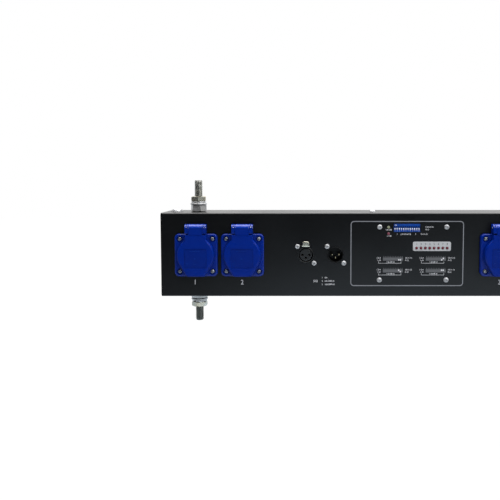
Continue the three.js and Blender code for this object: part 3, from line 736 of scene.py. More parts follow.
@dataclass(frozen=True)
class PowderCoat(Coating):
    """Baked powder paint: a fine orange peel, with soft patches of other gloss."""

    roughness: float
    grain: float = 2300.0
    patch: float = 14.0
    relief: float = 0.000012
    ior: float = 1.38

    def surface(self, graph: Graph) -> dict[str, object]:
        """Add the grain, a coarser grain under it, and the patches."""
        grain, patch = graph.noise(self.grain), graph.noise(self.patch, 3)
        coarse = graph.bump(graph.noise(self.grain * 0.21), self.relief * 1.5)
        return {
            "Base Color": self.clouded(graph, grain, start=0.52, stop=0.8), "IOR": self.ior,
            "Roughness": graph.spread(patch, self.roughness - 0.025, self.roughness + 0.035),
            "Normal": graph.bump(grain, self.relief, coarse),
        }


@dataclass(frozen=True)
class MouldedPlastic(Coating):
    """Moulded plastic: an eroded mould texture, faint flow marks and slightly uneven colour."""

    roughness: float
    grain: float = 3000.0
    relief: float = 0.000006
    ior: float = 1.5

    def surface(self, graph: Graph) -> dict[str, object]:
        """Add the grain and the flow marks."""
        flow = graph.noise(60, 4, graph.stretched(1, 1, 2.2))
        return {
            "Base Color": self.clouded(graph, flow), "IOR": self.ior,
            "Roughness": graph.spread(flow, self.roughness - 0.03, self.roughness + 0.05),
            "Normal": graph.bump(graph.noise(self.grain, 3), self.relief),
        }


@dataclass(frozen=True)
class PlatedSteel(Coating):
    """Plated steel: cloudy tint, fine scratches drawn out along one axis, and uneven gloss."""

    roughness: float
    streak: Sizes = (1.0, 1.0, 9.0)
    groove_shade: Colour | None = None
    metal: float = 1.0
    relief: float = 0.000004

    def surface(self, graph: Graph) -> dict[str, object]:
        """Add the clouds and scratches, and painted shade in the grooves of a thread if it has any."""
        colour = self.clouded(graph, graph.noise(140, 4))
        if self.groove_shade is not None:
            depth = graph.node("ShaderNodeAttribute", attribute_name="groove_shade").outputs["Fac"]
            colour = graph.mixed(graph.spread(depth, 0, 1, start=0.15, stop=1), colour, self.groove_shade)
        scratch = graph.noise(900, 3, graph.stretched(*self.streak))
        return {
            "Base Color": colour, "Metallic": self.metal,
            "Roughness": graph.spread(scratch, self.roughness - 0.06, self.roughness + 0.1),
            "Normal": graph.bump(scratch, self.relief),
        }


@dataclass(frozen=True)
class PrintedInk(Coating):
    """Screen printed ink, a little thin in places."""

    relief: float = 0.000003

    def surface(self, graph: Graph) -> dict[str, object]:
        """Add the weave of the screen."""
        weave = graph.noise(4200)
        return {
            "Base Color": self.clouded(graph, weave, start=0.55, stop=0.8),
            "Roughness": graph.spread(graph.noise(300), 0.45, 0.6),
            "Normal": graph.bump(weave, self.relief),
        }


@dataclass(frozen=True)
class LampLens(Coating):
    """Tinted resin of an indicator lamp, unlit, with swirls of a deeper colour."""

    relief: float = 0.000004

    def surface(self, graph: Graph) -> dict[str, object]:
        """Add the swirls."""
        swirl = graph.noise(900, 3)
        return {
            "Base Color": self.clouded(graph, swirl),
            "Roughness": graph.spread(graph.noise(2600), 0.1, 0.2),
            "Normal": graph.bump(swirl, self.relief),
        }


@dataclass(frozen=True)
class CircuitBoard(Coating):
    """Green solder mask with paler tracks, which follow a blocky pattern of cells."""

    relief: float = 0.00003

    def surface(self, graph: Graph) -> dict[str, object]:
        """Add the tracks along the edges of the cells."""
        inputs = {"Vector": graph.stretched(1, 1, 1.6), "Scale": 190.0, "Randomness": 0.8}
        cells = graph.node("ShaderNodeTexVoronoi", inputs, feature="F1", distance="CHEBYCHEV")
        edge = graph.spread(cells.outputs["Distance"], 0, 1, start=0.42, stop=0.48)
        return {
            "Base Color": graph.mixed(edge, self.colour, self.shade),
            "Roughness": graph.spread(graph.noise(500), 0.3, 0.42),
            "Normal": graph.bump(edge, self.relief),
        }


class Finish(Enum):
    """Every finish of the bar."""

    PAINT = PowderCoat("black_powder_coat", (0.0019, 0.002, 0.0024), (0.004, 0.0042, 0.005), 0.3)
    BRACKET_PAINT = PowderCoat(
        "bracket_powder_coat", (0.004, 0.004, 0.0045), (0.009, 0.009, 0.01), 0.4, grain=1700.0)
    BLUE = MouldedPlastic("blue_moulding", (0.0001, 0.0155, 0.198), (0.0001, 0.0135, 0.178), 0.3, ior=1.2)
    FLANGE_BLUE = MouldedPlastic(
        "flange_blue_moulding", (0.0001, 0.0155, 0.198), (0.0001, 0.0135, 0.178), 0.22, ior=1.34)
    # Painted light: the hinge barrels take a brighter copy of the outlet blue, a painted highlight of the
    # overhead light on their tops.
    BARREL_BLUE = MouldedPlastic(
        "hinge_barrel_blue_painted_highlight", (0.003, 0.033, 0.33), (0.002, 0.028, 0.29), 0.24, ior=1.55)
    WINDOW_BLUE = MouldedPlastic(
        "lid_window_blue", (0.0001, 0.0135, 0.168), (0.0001, 0.0115, 0.152), 0.34, ior=1.2)
    # Painted light: the raised lid marks take a lighter blue than the lid, a painted highlight.
    LID_MARK = MouldedPlastic("lid_mark_blue", (0.001, 0.028, 0.24), (0.001, 0.023, 0.21), 0.36, ior=1.22)
    BLACK = MouldedPlastic("black_moulding", (0.0045, 0.0045, 0.0048), (0.007, 0.007, 0.0075), 0.34)
    DARK_BLACK = MouldedPlastic(
        "dark_black_moulding", (0.0012, 0.0012, 0.0013), (0.0018, 0.0018, 0.002), 0.42, ior=1.3)
    RUBBER = MouldedPlastic("grey_seal_rubber", (0.05, 0.05, 0.052), (0.035, 0.035, 0.037), 0.7)
    IVORY = MouldedPlastic("ivory_moulding", (0.72, 0.71, 0.67), (0.66, 0.65, 0.6), 0.4)
    SLIDER_WHITE = MouldedPlastic("white_slider", (0.85, 0.86, 0.88), (0.75, 0.76, 0.78), 0.35)
    SWITCH_BLUE = MouldedPlastic(
        "switch_blue_moulding", (0.0006, 0.044, 0.27), (0.0005, 0.036, 0.225), 0.38, ior=1.3)
    STRIP_GREY = MouldedPlastic("strip_grey_moulding", (0.42, 0.43, 0.45), (0.38, 0.39, 0.41), 0.5)
    ZINC = PlatedSteel("zinc_plate", (0.53, 0.53, 0.54), (0.46, 0.46, 0.45), 0.34, metal=0.62)
    YELLOW_ZINC = PlatedSteel("yellow_zinc_plate", (0.5, 0.44, 0.32), (0.45, 0.45, 0.41), 0.26, metal=0.85)
    # Painted shade: the thread finish darkens the grooves of the thread towards near black, where shade
    # falls.
    THREAD = PlatedSteel(
        "threaded_zinc_plate", (0.4, 0.4, 0.37), (0.32, 0.32, 0.29), 0.34, groove_shade=(0.09, 0.09, 0.085))
    # Painted shade: a darker copy of the screw plate for the outlet screws, standing in for the shade in
    # their pockets.
    DULL_SCREW = PlatedSteel("screw_plate_painted_shade", (0.31, 0.31, 0.32), (0.23, 0.23, 0.24), 0.3)
    SCREW = PlatedSteel("bright_screw_plate", (0.5, 0.5, 0.51), (0.42, 0.42, 0.43), 0.42, metal=0.6)
    NICKEL = PlatedSteel("nickel_plate", (0.72, 0.69, 0.57), (0.6, 0.58, 0.49), 0.26)
    BRASS = PlatedSteel("brass_pin_plate", (0.34, 0.3, 0.19), (0.28, 0.25, 0.17), 0.3)
    ALUMINIUM = PlatedSteel(
        "drawn_aluminium", (0.6, 0.61, 0.62), (0.5, 0.51, 0.52), 0.36, streak=(0.04, 1.0, 1.0))
    INK = PrintedInk("pale_ink", (0.64, 0.65, 0.69), (0.46, 0.47, 0.5))
    GREY_INK = PrintedInk("grey_ink", (0.085, 0.088, 0.095), (0.06, 0.062, 0.068))
    FRAME_INK = PrintedInk("frame_ink", (0.2, 0.21, 0.235), (0.14, 0.15, 0.165))
    BLACK_INK = PrintedInk("black_ink", (0.03, 0.03, 0.03), (0.06, 0.06, 0.06))
    RED_LENS = LampLens("dark_red_lens", (0.14, 0.004, 0.02), (0.07, 0.002, 0.01))
    STATUS_RED = LampLens("status_red_lens", (0.2, 0.06, 0.085), (0.14, 0.04, 0.06))
    STATUS_CLEAR = LampLens("status_clear_lens", (0.26, 0.28, 0.19), (0.2, 0.22, 0.15))
    BOARD = CircuitBoard("green_board", (0.008, 0.07, 0.025), (0.03, 0.16, 0.06))


@dataclass
class Maker:
    """Turns shapes into pieces that ride on a body of the frame, in finishes that are built once."""

    materials: dict[Finish, bpy.types.Material] = field(
        default_factory=lambda: {finish: finish.value.material() for finish in Finish})
    made: int = 0

    def piece(self, name: str, shape: Shape, finish: Finish, slot: Slot, body: str = ROOT_BODY,
              stands_for: Sequence[str] = ()) -> bpy.types.Object:
        """Make one piece.

        Args:
            name: the piece's name.
            shape: its surface.
            finish: its finish.
            slot: the record's slot for that finish; not used.
            body: the body that it rides on.
            stands_for: CAD nodes that it replaces.

        Returns:
            The new object.
        """
        mesh = bpy.data.meshes.new(name)
        faces = [row for patch in shape.faces for row in patch.tolist()]
        mesh.from_pydata(np.concatenate(shape.points).tolist(), [], faces)
        work = bmesh.new()
        work.from_mesh(mesh)
        bmesh.ops.remove_doubles(work, verts=work.verts, dist=MERGE)
        bmesh.ops.dissolve_degenerate(work, dist=MERGE / 2, edges=work.edges)
        bmesh.ops.recalc_face_normals(work, faces=work.faces)
        work.to_mesh(mesh)
        work.free()
        mesh.polygons.foreach_set("use_smooth", np.ones(len(mesh.polygons), bool))
        mesh.set_sharp_from_angle(angle=CREASE)
        mesh.materials.append(self.materials[finish])
        piece = bpy.data.objects.new(name, mesh)
        piece.modifiers.new("flat_faces_stay_flat", "WEIGHTED_NORMAL").keep_sharp = True
        bpy.context.scene.collection.objects.link(piece)
        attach(piece, body)
        if stands_for:
            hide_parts(*stands_for)
        self.made += 1
        LOG.info("%s: %d faces on %s", name, len(mesh.polygons), body)
        return piece

    def dress(self, node: bpy.types.Object, finish: Finish) -> None:
        """Give a CAD node its finish."""
        node.data.materials.clear()
        node.data.materials.append(self.materials[finish])


class Room:
    """The box that a CAD node takes up: its corners, its sizes and its middle."""

    def __init__(self, node: str) -> None:
        """Read the node's box."""
        low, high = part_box(node)
        self.low, self.high = low, high
        self.width, self.depth, self.height = high.x - low.x, high.y - low.y, high.z - low.z
        self.x, self.z = (low.x + high.x) / 2, (low.z + high.z) / 2

    def filled(self, shape: Shape) -> Shape:
        """Face a shape to the front and stand it in the box, with its base at the rear."""
        return shape.facing(Facing.FRONT).moved(self.x, self.high.y, self.z)


class Layout:
    """Places of the bar's pieces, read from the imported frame."""

    def __init__(self) -> None:
        """Measure the housing, the outlets and what else pieces are placed by."""
        housing = Room("housing")
        self.left, self.front, self.bottom = housing.low
        self.right, self.tray_rear, self.top = housing.high
        self.middle = housing.z
        self.outlets = [Room(f"socket_{way}").x for way in range(1, 9)]
        self.studs = [Room(f"stud_top_{place}").x for place in range(1, 5)]


@dataclass
class Assembly:
    """What every sub-assembly has: the bar's layout, the maker, and the sizes that they share.

    A screw's sizes are the radius and height of its head, then the share and the depth of its cross.
    """

    layout: Layout
    maker: Maker
    fit_gap: float = field(default=0.0003, kw_only=True)
    sheet: float = field(default=0.0015, kw_only=True)
    x: float = field(init=False)
    z: float = field(init=False)

    @property
    def panel(self) -> float:
        """Where the back of a flange stands, just before the front."""
        return self.layout.front - self.fit_gap

    def at_front(self, shape: Shape, x: float, z: float, out: float = -SEAT) -> Shape:
        """Face a shape to the front at a place, so far before the housing's front."""
        return shape.facing(Facing.FRONT).moved(x, self.layout.front - out, z)

    def at_panel(self, shape: Shape) -> Shape:
        """Face a shape to the front at the assembly's own middle, with its base on the panel."""
        return shape.facing(Facing.FRONT).moved(self.x, self.panel, self.z)


@dataclass
class Outlet(Assembly):
    """One mains outlet: flange, cup behind it, hinge ears, contacts, screws and a sprung lid."""

    way: int
    flange_side: float = 0.05
    flange_corner: float = 0.005
    flange_thickness: float = 0.004
    flange_edge: float = 0.0016
    body_depth: float = 0.034
    body_edge: float = 0.0008
    recess_radius: float = 0.0195
    recess_wall: float = 0.00225
    recess_depth: float = 0.0175
    recess_edge: float = 0.0005
    insert_thickness: float = 0.003
    insert_edge: float = 0.0004
    pin_pitch: float = 0.019
    pin_hole_radius: float = 0.0027
    pin_hole_depth: float = 0.014
    clip_width: float = 0.0056
    clip_thickness: float = 0.0006
    clip_bow: float = 0.0019
    clip_length: float = 0.011
    screw_pitch: float = 0.038
    pocket_radius: float = 0.0038
    pocket_depth: float = 0.0016
    screw: Sizes = (0.0024, 0.0014)
    hinge_rise: float = 0.0072
    hinge_width: float = 0.0244
    knuckle_radius: float = 0.004
    ear_width: float = 0.004
    ear_leaf: float = 0.0016
    ear_edge: float = 0.0002
    ear_overlap: float = 0.0002
    ear_foot_rise: float = 0.0006
    ear_foot_corner: float = 0.0005
    tab_thickness: float = 0.001
    tab_corner: float = 0.0006
    pin_radius: float = 0.0011
    pin_overhang: float = 0.0002
    pin_edge: float = 0.0003
    lid_thickness: float = 0.005
    lid_edge: float = 0.002
    lid_back_edge: float = 0.0005
    lid_radius: float = 0.0216
    lip_reach: float = 0.0032
    lip_corner: float = 0.004
    lip_slope: float = pi / 6
    neck_edge_share: float = 0.3
    tongue_edge: float = 0.0003
    tongue_overlap: float = 0.001
    window_width: float = 0.026
    window_height: float = 0.0225
    window_corner: float = 0.0012
    window_drop: float = 0.0032
    window_depth: float = 0.0005
    window_gap: float = 0.0004
    window_panel: float = 0.00025
    mark_rise: float = 0.00018
    dot: Sizes = (0.0009, -0.0006, -0.0034)                # radius and middle
    seal_size: Sizes = (0.0158, 0.0182, 0.0017, 0.0007)    # two radii, depth and edge
    figure_height: float = 0.0056
    figure_drop: float = 0.0322
    figure_left: float = 0.0023

    def __post_init__(self) -> None:
        """Work out the places that the body and the lid share."""
        self.x = self.layout.outlets[self.way - 1]
        self.z = self.layout.middle
        self.flange_front = self.panel - self.flange_thickness
        self.tab_front = self.panel - self.tab_thickness
        self.hinge_y = self.tab_front - self.fit_gap - self.knuckle_radius
        self.hinge_z = self.z + self.flange_side / 2 + self.hinge_rise
        self.lid_back = self.flange_front - self.fit_gap
        self.lid_front = self.lid_back - self.lid_thickness
        self.tongue_half = self.hinge_width / 2 - self.ear_width - self.fit_gap
        self.ear_root = self.tab_front - self.hinge_y + self.tab_thickness / 2
        self.ear_foot = self.hinge_z - self.z - self.flange_side / 2 - self.ear_foot_rise
        self.neck_drop = hypot(self.knuckle_radius, self.ear_foot) + self.fit_gap
        self.node = f"socket_{self.way}"
        self.lid_node = f"socket_lid_{self.way}"
        self.lid_body = f"lid_{self.way}"

    def body_radius(self) -> float:
        """Outer radius of the cup behind the panel."""
        return self.recess_radius + self.recess_wall

    def on_lid(self, shape: Shape, y: float) -> Shape:
        """Face a shape to the front at the outlet's middle, with its base at a depth."""
        return shape.facing(Facing.FRONT).moved(self.x, y, self.z)

    def on_hinge(self, shape: Shape, start: float) -> Shape:
        """Turn a shape along the hinge axis, from a start beside the outlet's middle."""
        return shape.facing(Facing.SIDE).moved(self.x + start, self.hinge_y, self.hinge_z)

    def screw_places(self) -> list[Point]:
        """Middles of the four flange screws about the outlet's middle."""
        half = self.screw_pitch / 2
        return [(dx * half, dz * half) for dx in BOTH for dz in BOTH]

    def flange(self) -> Shape:
        """The square flange with round edges, its recess and its four screw pockets."""
        outline = rectangle(self.flange_side, self.flange_side, self.flange_corner)
        hole = circle(self.recess_radius, 64)[::-1]
        pockets = [
            (circle(self.pocket_radius, 28, place)[::-1], self.pocket_depth) for place in self.screw_places()]
        rows = edge_rows(self.flange_thickness, self.flange_edge)
        lip = edge_rows(self.flange_thickness, self.recess_edge)
        body = Shape().grid(wall(outline, rows), closed=True).grid(wall(hole, lip), closed=True)
        fronts = [inset(outline, rows[-1][0]), inset(hole, lip[-1][0]), *[pocket for pocket, _ in pockets]]
        body.add(*cap(fronts, self.flange_thickness)).add(*cap([outline, hole], 0))
        return self.at_panel(sink(body, pockets, self.flange_thickness))

    def cup(self) -> Shape:
        """The round body behind the flange, open at the front, with the pin face across it."""
        floor = self.flange_thickness - self.recess_depth
        well = floor - self.insert_thickness - self.pin_hole_depth
        inner, outer = self.recess_radius, self.body_radius()
        back = -self.body_depth
        corners = [(0, well), (inner, well), (inner, 0), (outer, 0), (outer, back), (0, back)]
        cup = lathed(corners, [0, self.insert_edge, 0, 0, self.body_edge, 0], 3, 64)
        holes = [circle(self.pin_hole_radius, 24, (side * self.pin_pitch / 2, 0))[::-1] for side in BOTH]
        centre_hole = circle(self.pin_hole_radius / 2, 20)[::-1]
        face = plate([circle(inner - self.fit_gap / 3, 64), *holes, centre_hole],
                     edge_rows(self.insert_thickness, self.insert_edge))
        return self.at_panel(cup.joined(face.moved(z=floor - self.insert_thickness)))

    def hinge_side(self) -> Shape:
        """The tab above the flange, with the solid foot of an ear at each end of it."""
        base = self.z + self.flange_side / 2 - self.fit_gap
        height = self.hinge_z + self.knuckle_radius - base
        tab = plate([rectangle(self.hinge_width, height, self.tab_corner)],
                    edge_rows(self.tab_thickness, self.ear_edge))
        tab = tab.facing(Facing.FRONT).moved(self.x, self.panel, base + height / 2)
        radius, root, drop = self.knuckle_radius, self.ear_root, self.ear_overlap
        corner = self.ear_foot_corner
        bend = arc(corner, 3 * pi / 2, pi, 5, (corner - radius, corner - self.ear_foot))
        outline = np.concatenate([[(root, -drop), (root, -self.ear_foot)], bend, [(-radius, -drop)]])[::-1]
        foot = plate([outline], edge_rows(self.ear_width, self.ear_edge, self.ear_edge, 2))
        half = self.hinge_width / 2
        return tab.joined(*[self.on_hinge(foot, start) for start in (-half, half - self.ear_width)])

    def ear_barrels(self) -> Shape:
        """The round tops of the ears, each of two leaves that stand on the tab as a D."""
        radius, root, drop = self.knuckle_radius, self.ear_root, 2 * self.ear_overlap
        nose = arc(radius, pi, pi / 2, 14)
        outline = np.concatenate([[(root, radius), (root, -drop), (-radius, -drop)], nose])[::-1]
        leaf = plate([outline], edge_rows(self.ear_leaf, self.ear_edge, self.ear_edge, 2))
        half, inner = self.hinge_width / 2, self.hinge_width / 2 - self.ear_width
        starts = (-half, -inner - self.ear_leaf, inner, half - self.ear_leaf)
        return Shape().joined(*[self.on_hinge(leaf, start) for start in starts])

    def contacts(self) -> Shape:
        """Two bowed earth springs, one above and one below in the recess."""
        share = np.linspace(0, 1, 15)
        out = self.flange_thickness - self.recess_depth + share * self.clip_length
        bow = self.recess_radius - self.clip_bow * np.sin(pi * share) ** 0.8 - self.clip_thickness
        section = rectangle(self.clip_width, self.clip_thickness, self.clip_thickness * 0.3)
        strip = swept(section[:, ::-1][::-1], np.stack([0 * share, bow, out], axis=1), (1, 0, 0))
        return self.at_panel(strip.joined(strip.spun(pi)))

    def screws(self) -> Shape:
        """Four cross head screws in their pockets, each turned another way, in a darker plate that paints the
        pockets' shade.
        """
        seat, step, way_step = self.flange_thickness - self.pocket_depth, 0.7, 0.9
        head = screw_head(*self.screw)
        return self.at_panel(Shape().joined(*[
            head.spun(step * index + way_step * self.way).moved(*place, seat)
            for index, place in enumerate(self.screw_places())
        ]))

    def hinge_pin(self) -> Shape:
        """The hinge pin, from one ear through the lid to the other."""
        length = self.hinge_width + 2 * self.pin_overhang
        corners = [(0, 0), (self.pin_radius, 0), (self.pin_radius, length), (0, length)]
        return self.on_hinge(lathed(corners, self.pin_edge, 3, 20), -length / 2)

    def lid_outline(self) -> tuple[Array, Array]:
        """The lid's outline: a disc with a finger lip below and straight shoulders up to its neck.

        The lip's sides touch the disc, so its corners' middles stand at (R - r - z sin a) / cos a.

        Returns:
            The outline's points, and the share of the rounded edge that each of them takes.
        """
        radius, corner, slope = self.lid_radius, self.lip_corner, self.lip_slope
        level = -radius - self.lip_reach + corner
        out = (radius - corner + level * sin(slope)) / cos(slope)
        neck = self.hinge_width / 2
        neck_top = self.hinge_z - self.neck_drop - self.z
        shoulder = sqrt(2) * radius - neck
        foot = [arc(corner, pi + slope, 3 * pi / 2, 7, (-out, level)),
                arc(corner, -pi / 2, -slope, 7, (out, level))]
        right = arc(radius, -slope, pi / 4, 30)
        top = np.array([(neck, shoulder), (neck, neck_top), (-neck, neck_top), (-neck, shoulder)])
        left = arc(radius, 3 * pi / 4, pi + slope, 30)
        loop = np.concatenate([*foot, right, top, left])
        shares = np.ones(len(loop))
        first = len(loop) - len(left) - len(top)
        shares[first:first + len(top)] = self.neck_edge_share
        return loop, shares

    def lid(self) -> Shape:
        """The lid: a plate with round edges and a sunk window, and the flat part of its tongue."""
        window = rectangle(self.window_width, self.window_height, self.window_corner, (0, -self.window_drop))
        outline, shares = self.lid_outline()
        body = plate([outline], edge_rows(self.lid_thickness, self.lid_edge, self.lid_back_edge),
                     [(window[::-1], self.window_depth)], shares=shares)
        front, back = self.lid_front - self.hinge_y, self.lid_back - self.hinge_y
        low, high = -self.neck_drop - self.tongue_overlap, -self.ear_overlap
        tongue = self.on_tongue(np.array([(front, low), (back, low), (back, high), (front, high)]))
        return self.on_lid(body, self.lid_back).joined(tongue)

    def on_tongue(self, outline: Array) -> Shape:
        """A slab as wide as the lid's tongue, from its outline behind and above the hinge axis."""
        rows = edge_rows(2 * self.tongue_half, self.tongue_edge, self.tongue_edge, 3)
        return self.on_hinge(plate([outline], rows), -self.tongue_half)

    def knuckle(self) -> Shape:
        """The round middle knuckle on top of the lid's tongue."""
        front, back = self.lid_front - self.hinge_y, self.lid_back - self.hinge_y
        nose = arc(self.knuckle_radius, pi, -acos(back / self.knuckle_radius), 26)
        return self.on_tongue(np.concatenate([[(front, -2 * self.ear_overlap)], nose])[::-1])

    def window(self) -> Shape:
        """The darker panel in the floor of the lid's window."""
        width, height = self.window_width - 2 * self.window_gap, self.window_height - 2 * self.window_gap
        panel = plate([rectangle(width, height, self.window_corner, (0, -self.window_drop))],
                      edge_rows(self.window_panel, self.window_panel / 2, steps=2))
        return self.on_lid(panel, self.lid_front + self.window_depth + SEAT)

    def lid_marks(self) -> Shape:
        """Plain raised marks in the window: a bar, a dot and short dashes, in a lighter blue that paints
        their highlight.
        """
        rows = edge_rows(self.mark_rise, self.mark_rise * 0.4, steps=2)
        bars = [(0.0125, 0.0005, -0.0006, 0.0052), (0.0024, 0.0005, -0.0096, -0.0092),
                (0.0017, 0.0004, -0.0082, -0.0012), (0.0035, 0.0004, -0.0006, -0.0098)]
        outlines = [rectangle(width, height, height * 0.45, (dx, dz)) for width, height, dx, dz in bars]
        outlines.append(circle(self.dot[0], 20, self.dot[1:]))
        marks = Shape().joined(*[plate([outline], rows) for outline in outlines])
        return self.on_lid(marks, self.lid_front + self.window_depth - self.window_panel + 2 * SEAT)

    def seal(self) -> Shape:
        """The seal under the lid, a soft ring that reaches into the recess."""
        inner, outer, depth, edge = self.seal_size
        corners = [(inner, 0), (outer, 0), (outer, -depth), (inner, -depth)]
        return self.on_lid(turned_ring(corners, [0, 0, edge, edge], 4, 64), self.lid_back)

    def figure(self) -> Shape:
        """The outlet's number, printed under it on the panel."""
        number = lettering(str(self.way), self.figure_height, bold=0.008, from_left=True)
        return self.at_front(number, self.x - self.figure_left, self.z - self.figure_drop)

    def build(self) -> None:
        """Make the outlet's pieces and dress them."""
        make, node, lid = self.maker.piece, self.node, self.lid_node
        body = self.flange().joined(self.cup(), self.hinge_side())
        make(f"{node}_body", body, Finish.FLANGE_BLUE, Slot.OUTLET, stands_for=[node])
        # The ear barrels and the lid's knuckle take the brighter blue that paints the overhead light on the
        # hinge.
        make(f"{node}_ear_barrels", self.ear_barrels(), Finish.BARREL_BLUE, Slot.OUTLET)
        make(f"{node}_earth_springs", self.contacts(), Finish.NICKEL, Slot.ZINC)
        make(f"{node}_screws", self.screws(), Finish.DULL_SCREW, Slot.ZINC)
        make(f"{node}_hinge_pin", self.hinge_pin(), Finish.NICKEL, Slot.ZINC)
        make(f"{node}_number", self.figure(), Finish.INK, Slot.STRIP)
        make(f"{lid}_shell", self.lid(), Finish.BLUE, Slot.OUTLET, self.lid_body, [lid])
        make(f"{lid}_knuckle", self.knuckle(), Finish.BARREL_BLUE, Slot.OUTLET, self.lid_body)
        make(f"{lid}_window", self.window(), Finish.WINDOW_BLUE, Slot.OUTLET, self.lid_body)
        make(f"{lid}_marks", self.lid_marks(), Finish.LID_MARK, Slot.OUTLET, self.lid_body)
        make(f"{lid}_seal", self.seal(), Finish.RUBBER, Slot.BLACK, self.lid_body)


@dataclass
class LampStud(Assembly):
    """One threaded stud through the top or the bottom, with its nuts and washers."""

    place: int
    above: bool
    radius: float = 0.005
    pitch: float = 0.0015
    thread_depth: float = 0.00075
    chamfer: float = 0.0012
    across: float = 0.017
    bore: float = 0.0051
    head_height: float = 0.0064
    lock_nut_height: float = 0.008
    washer_radius: float = 0.01
    washer_height: float = 0.002
    spring_radius: float = 0.009
    spring_height: float = 0.0022
    clamp_nut_height: float = 0.006

    def __post_init__(self) -> None:
        """Find the wall, the tip and the names."""
        side = "top" if self.above else "bottom"
        self.facing = Facing.UP if self.above else Facing.DOWN
        self.wall = self.layout.top if self.above else self.layout.bottom
        self.node, self.nuts_node = f"stud_{side}_{self.place}", f"nuts_{side}_{self.place}"
        stud = Room(self.node)
        self.reach = abs((stud.high.z if self.above else stud.low.z) - self.wall)
        self.x = self.layout.studs[self.place - 1]

    def settle(self, shape: Shape, spin: float) -> Shape:
        """Turn a shape that rises from the wall to its own side, and place it on the stud."""
        return shape.spun(spin).facing(self.facing).moved(self.x, 0, self.wall)

    def rod(self) -> Shape:
        """The threaded shank with its hexagonal head inside the bar."""
        seat = -self.sheet - self.fit_gap
        shank = threaded_rod(self.radius, self.thread_depth, self.pitch, self.reach - seat, self.chamfer)
        head = hexagon(self.across, 0, self.head_height)
        return self.settle(shank.moved(z=seat).joined(head.moved(z=seat - self.head_height)), 0.4)

    def build(self) -> None:
        """Make the stud and its four rings, each turned by an angle of its own."""
        rod = self.maker.piece(f"{self.node}_rod", self.rod(), Finish.THREAD, Slot.ZINC,
                               stands_for=[self.node])
        self.mark_grooves(rod)
        level = self.fit_gap
        stack = (
            ("lock_nut", hexagon, self.across, self.lock_nut_height, pi / 6 - 0.14, Finish.ZINC),
            ("washer", washer, self.washer_radius, self.washer_height, 0.0, Finish.ZINC),
            ("spring_washer", split_washer, self.spring_radius, self.spring_height, 2.1, Finish.ZINC),
            ("clamp_nut", hexagon, self.across, self.clamp_nut_height, 0.1, Finish.YELLOW_ZINC),
        )
        for name, form, size, height, spin, finish in stack:
            ring = self.settle(form(size, self.bore, height).moved(z=level), spin)
            self.maker.piece(f"{self.nuts_node}_{name}", ring, finish, Slot.ZINC, stands_for=[self.nuts_node])
            level += height

    def mark_grooves(self, rod: bpy.types.Object) -> None:
        """Store how deep each point lies in the thread: (radius - distance from the axis) / depth, which sets
        the painted shade in the grooves.
        """
        points = np.empty(3 * len(rod.data.vertices), np.float32)
        rod.data.vertices.foreach_get("co", points)
        points = points.reshape(-1, 3)
        away = np.hypot(points[:, 0] - self.x, points[:, 1])
        groove_shade = rod.data.attributes.new("groove_shade", "FLOAT", "POINT")
        depth = np.clip((self.radius - away) / self.thread_depth, 0, 1)
        groove_shade.data.foreach_set("value", depth.astype(np.float32))


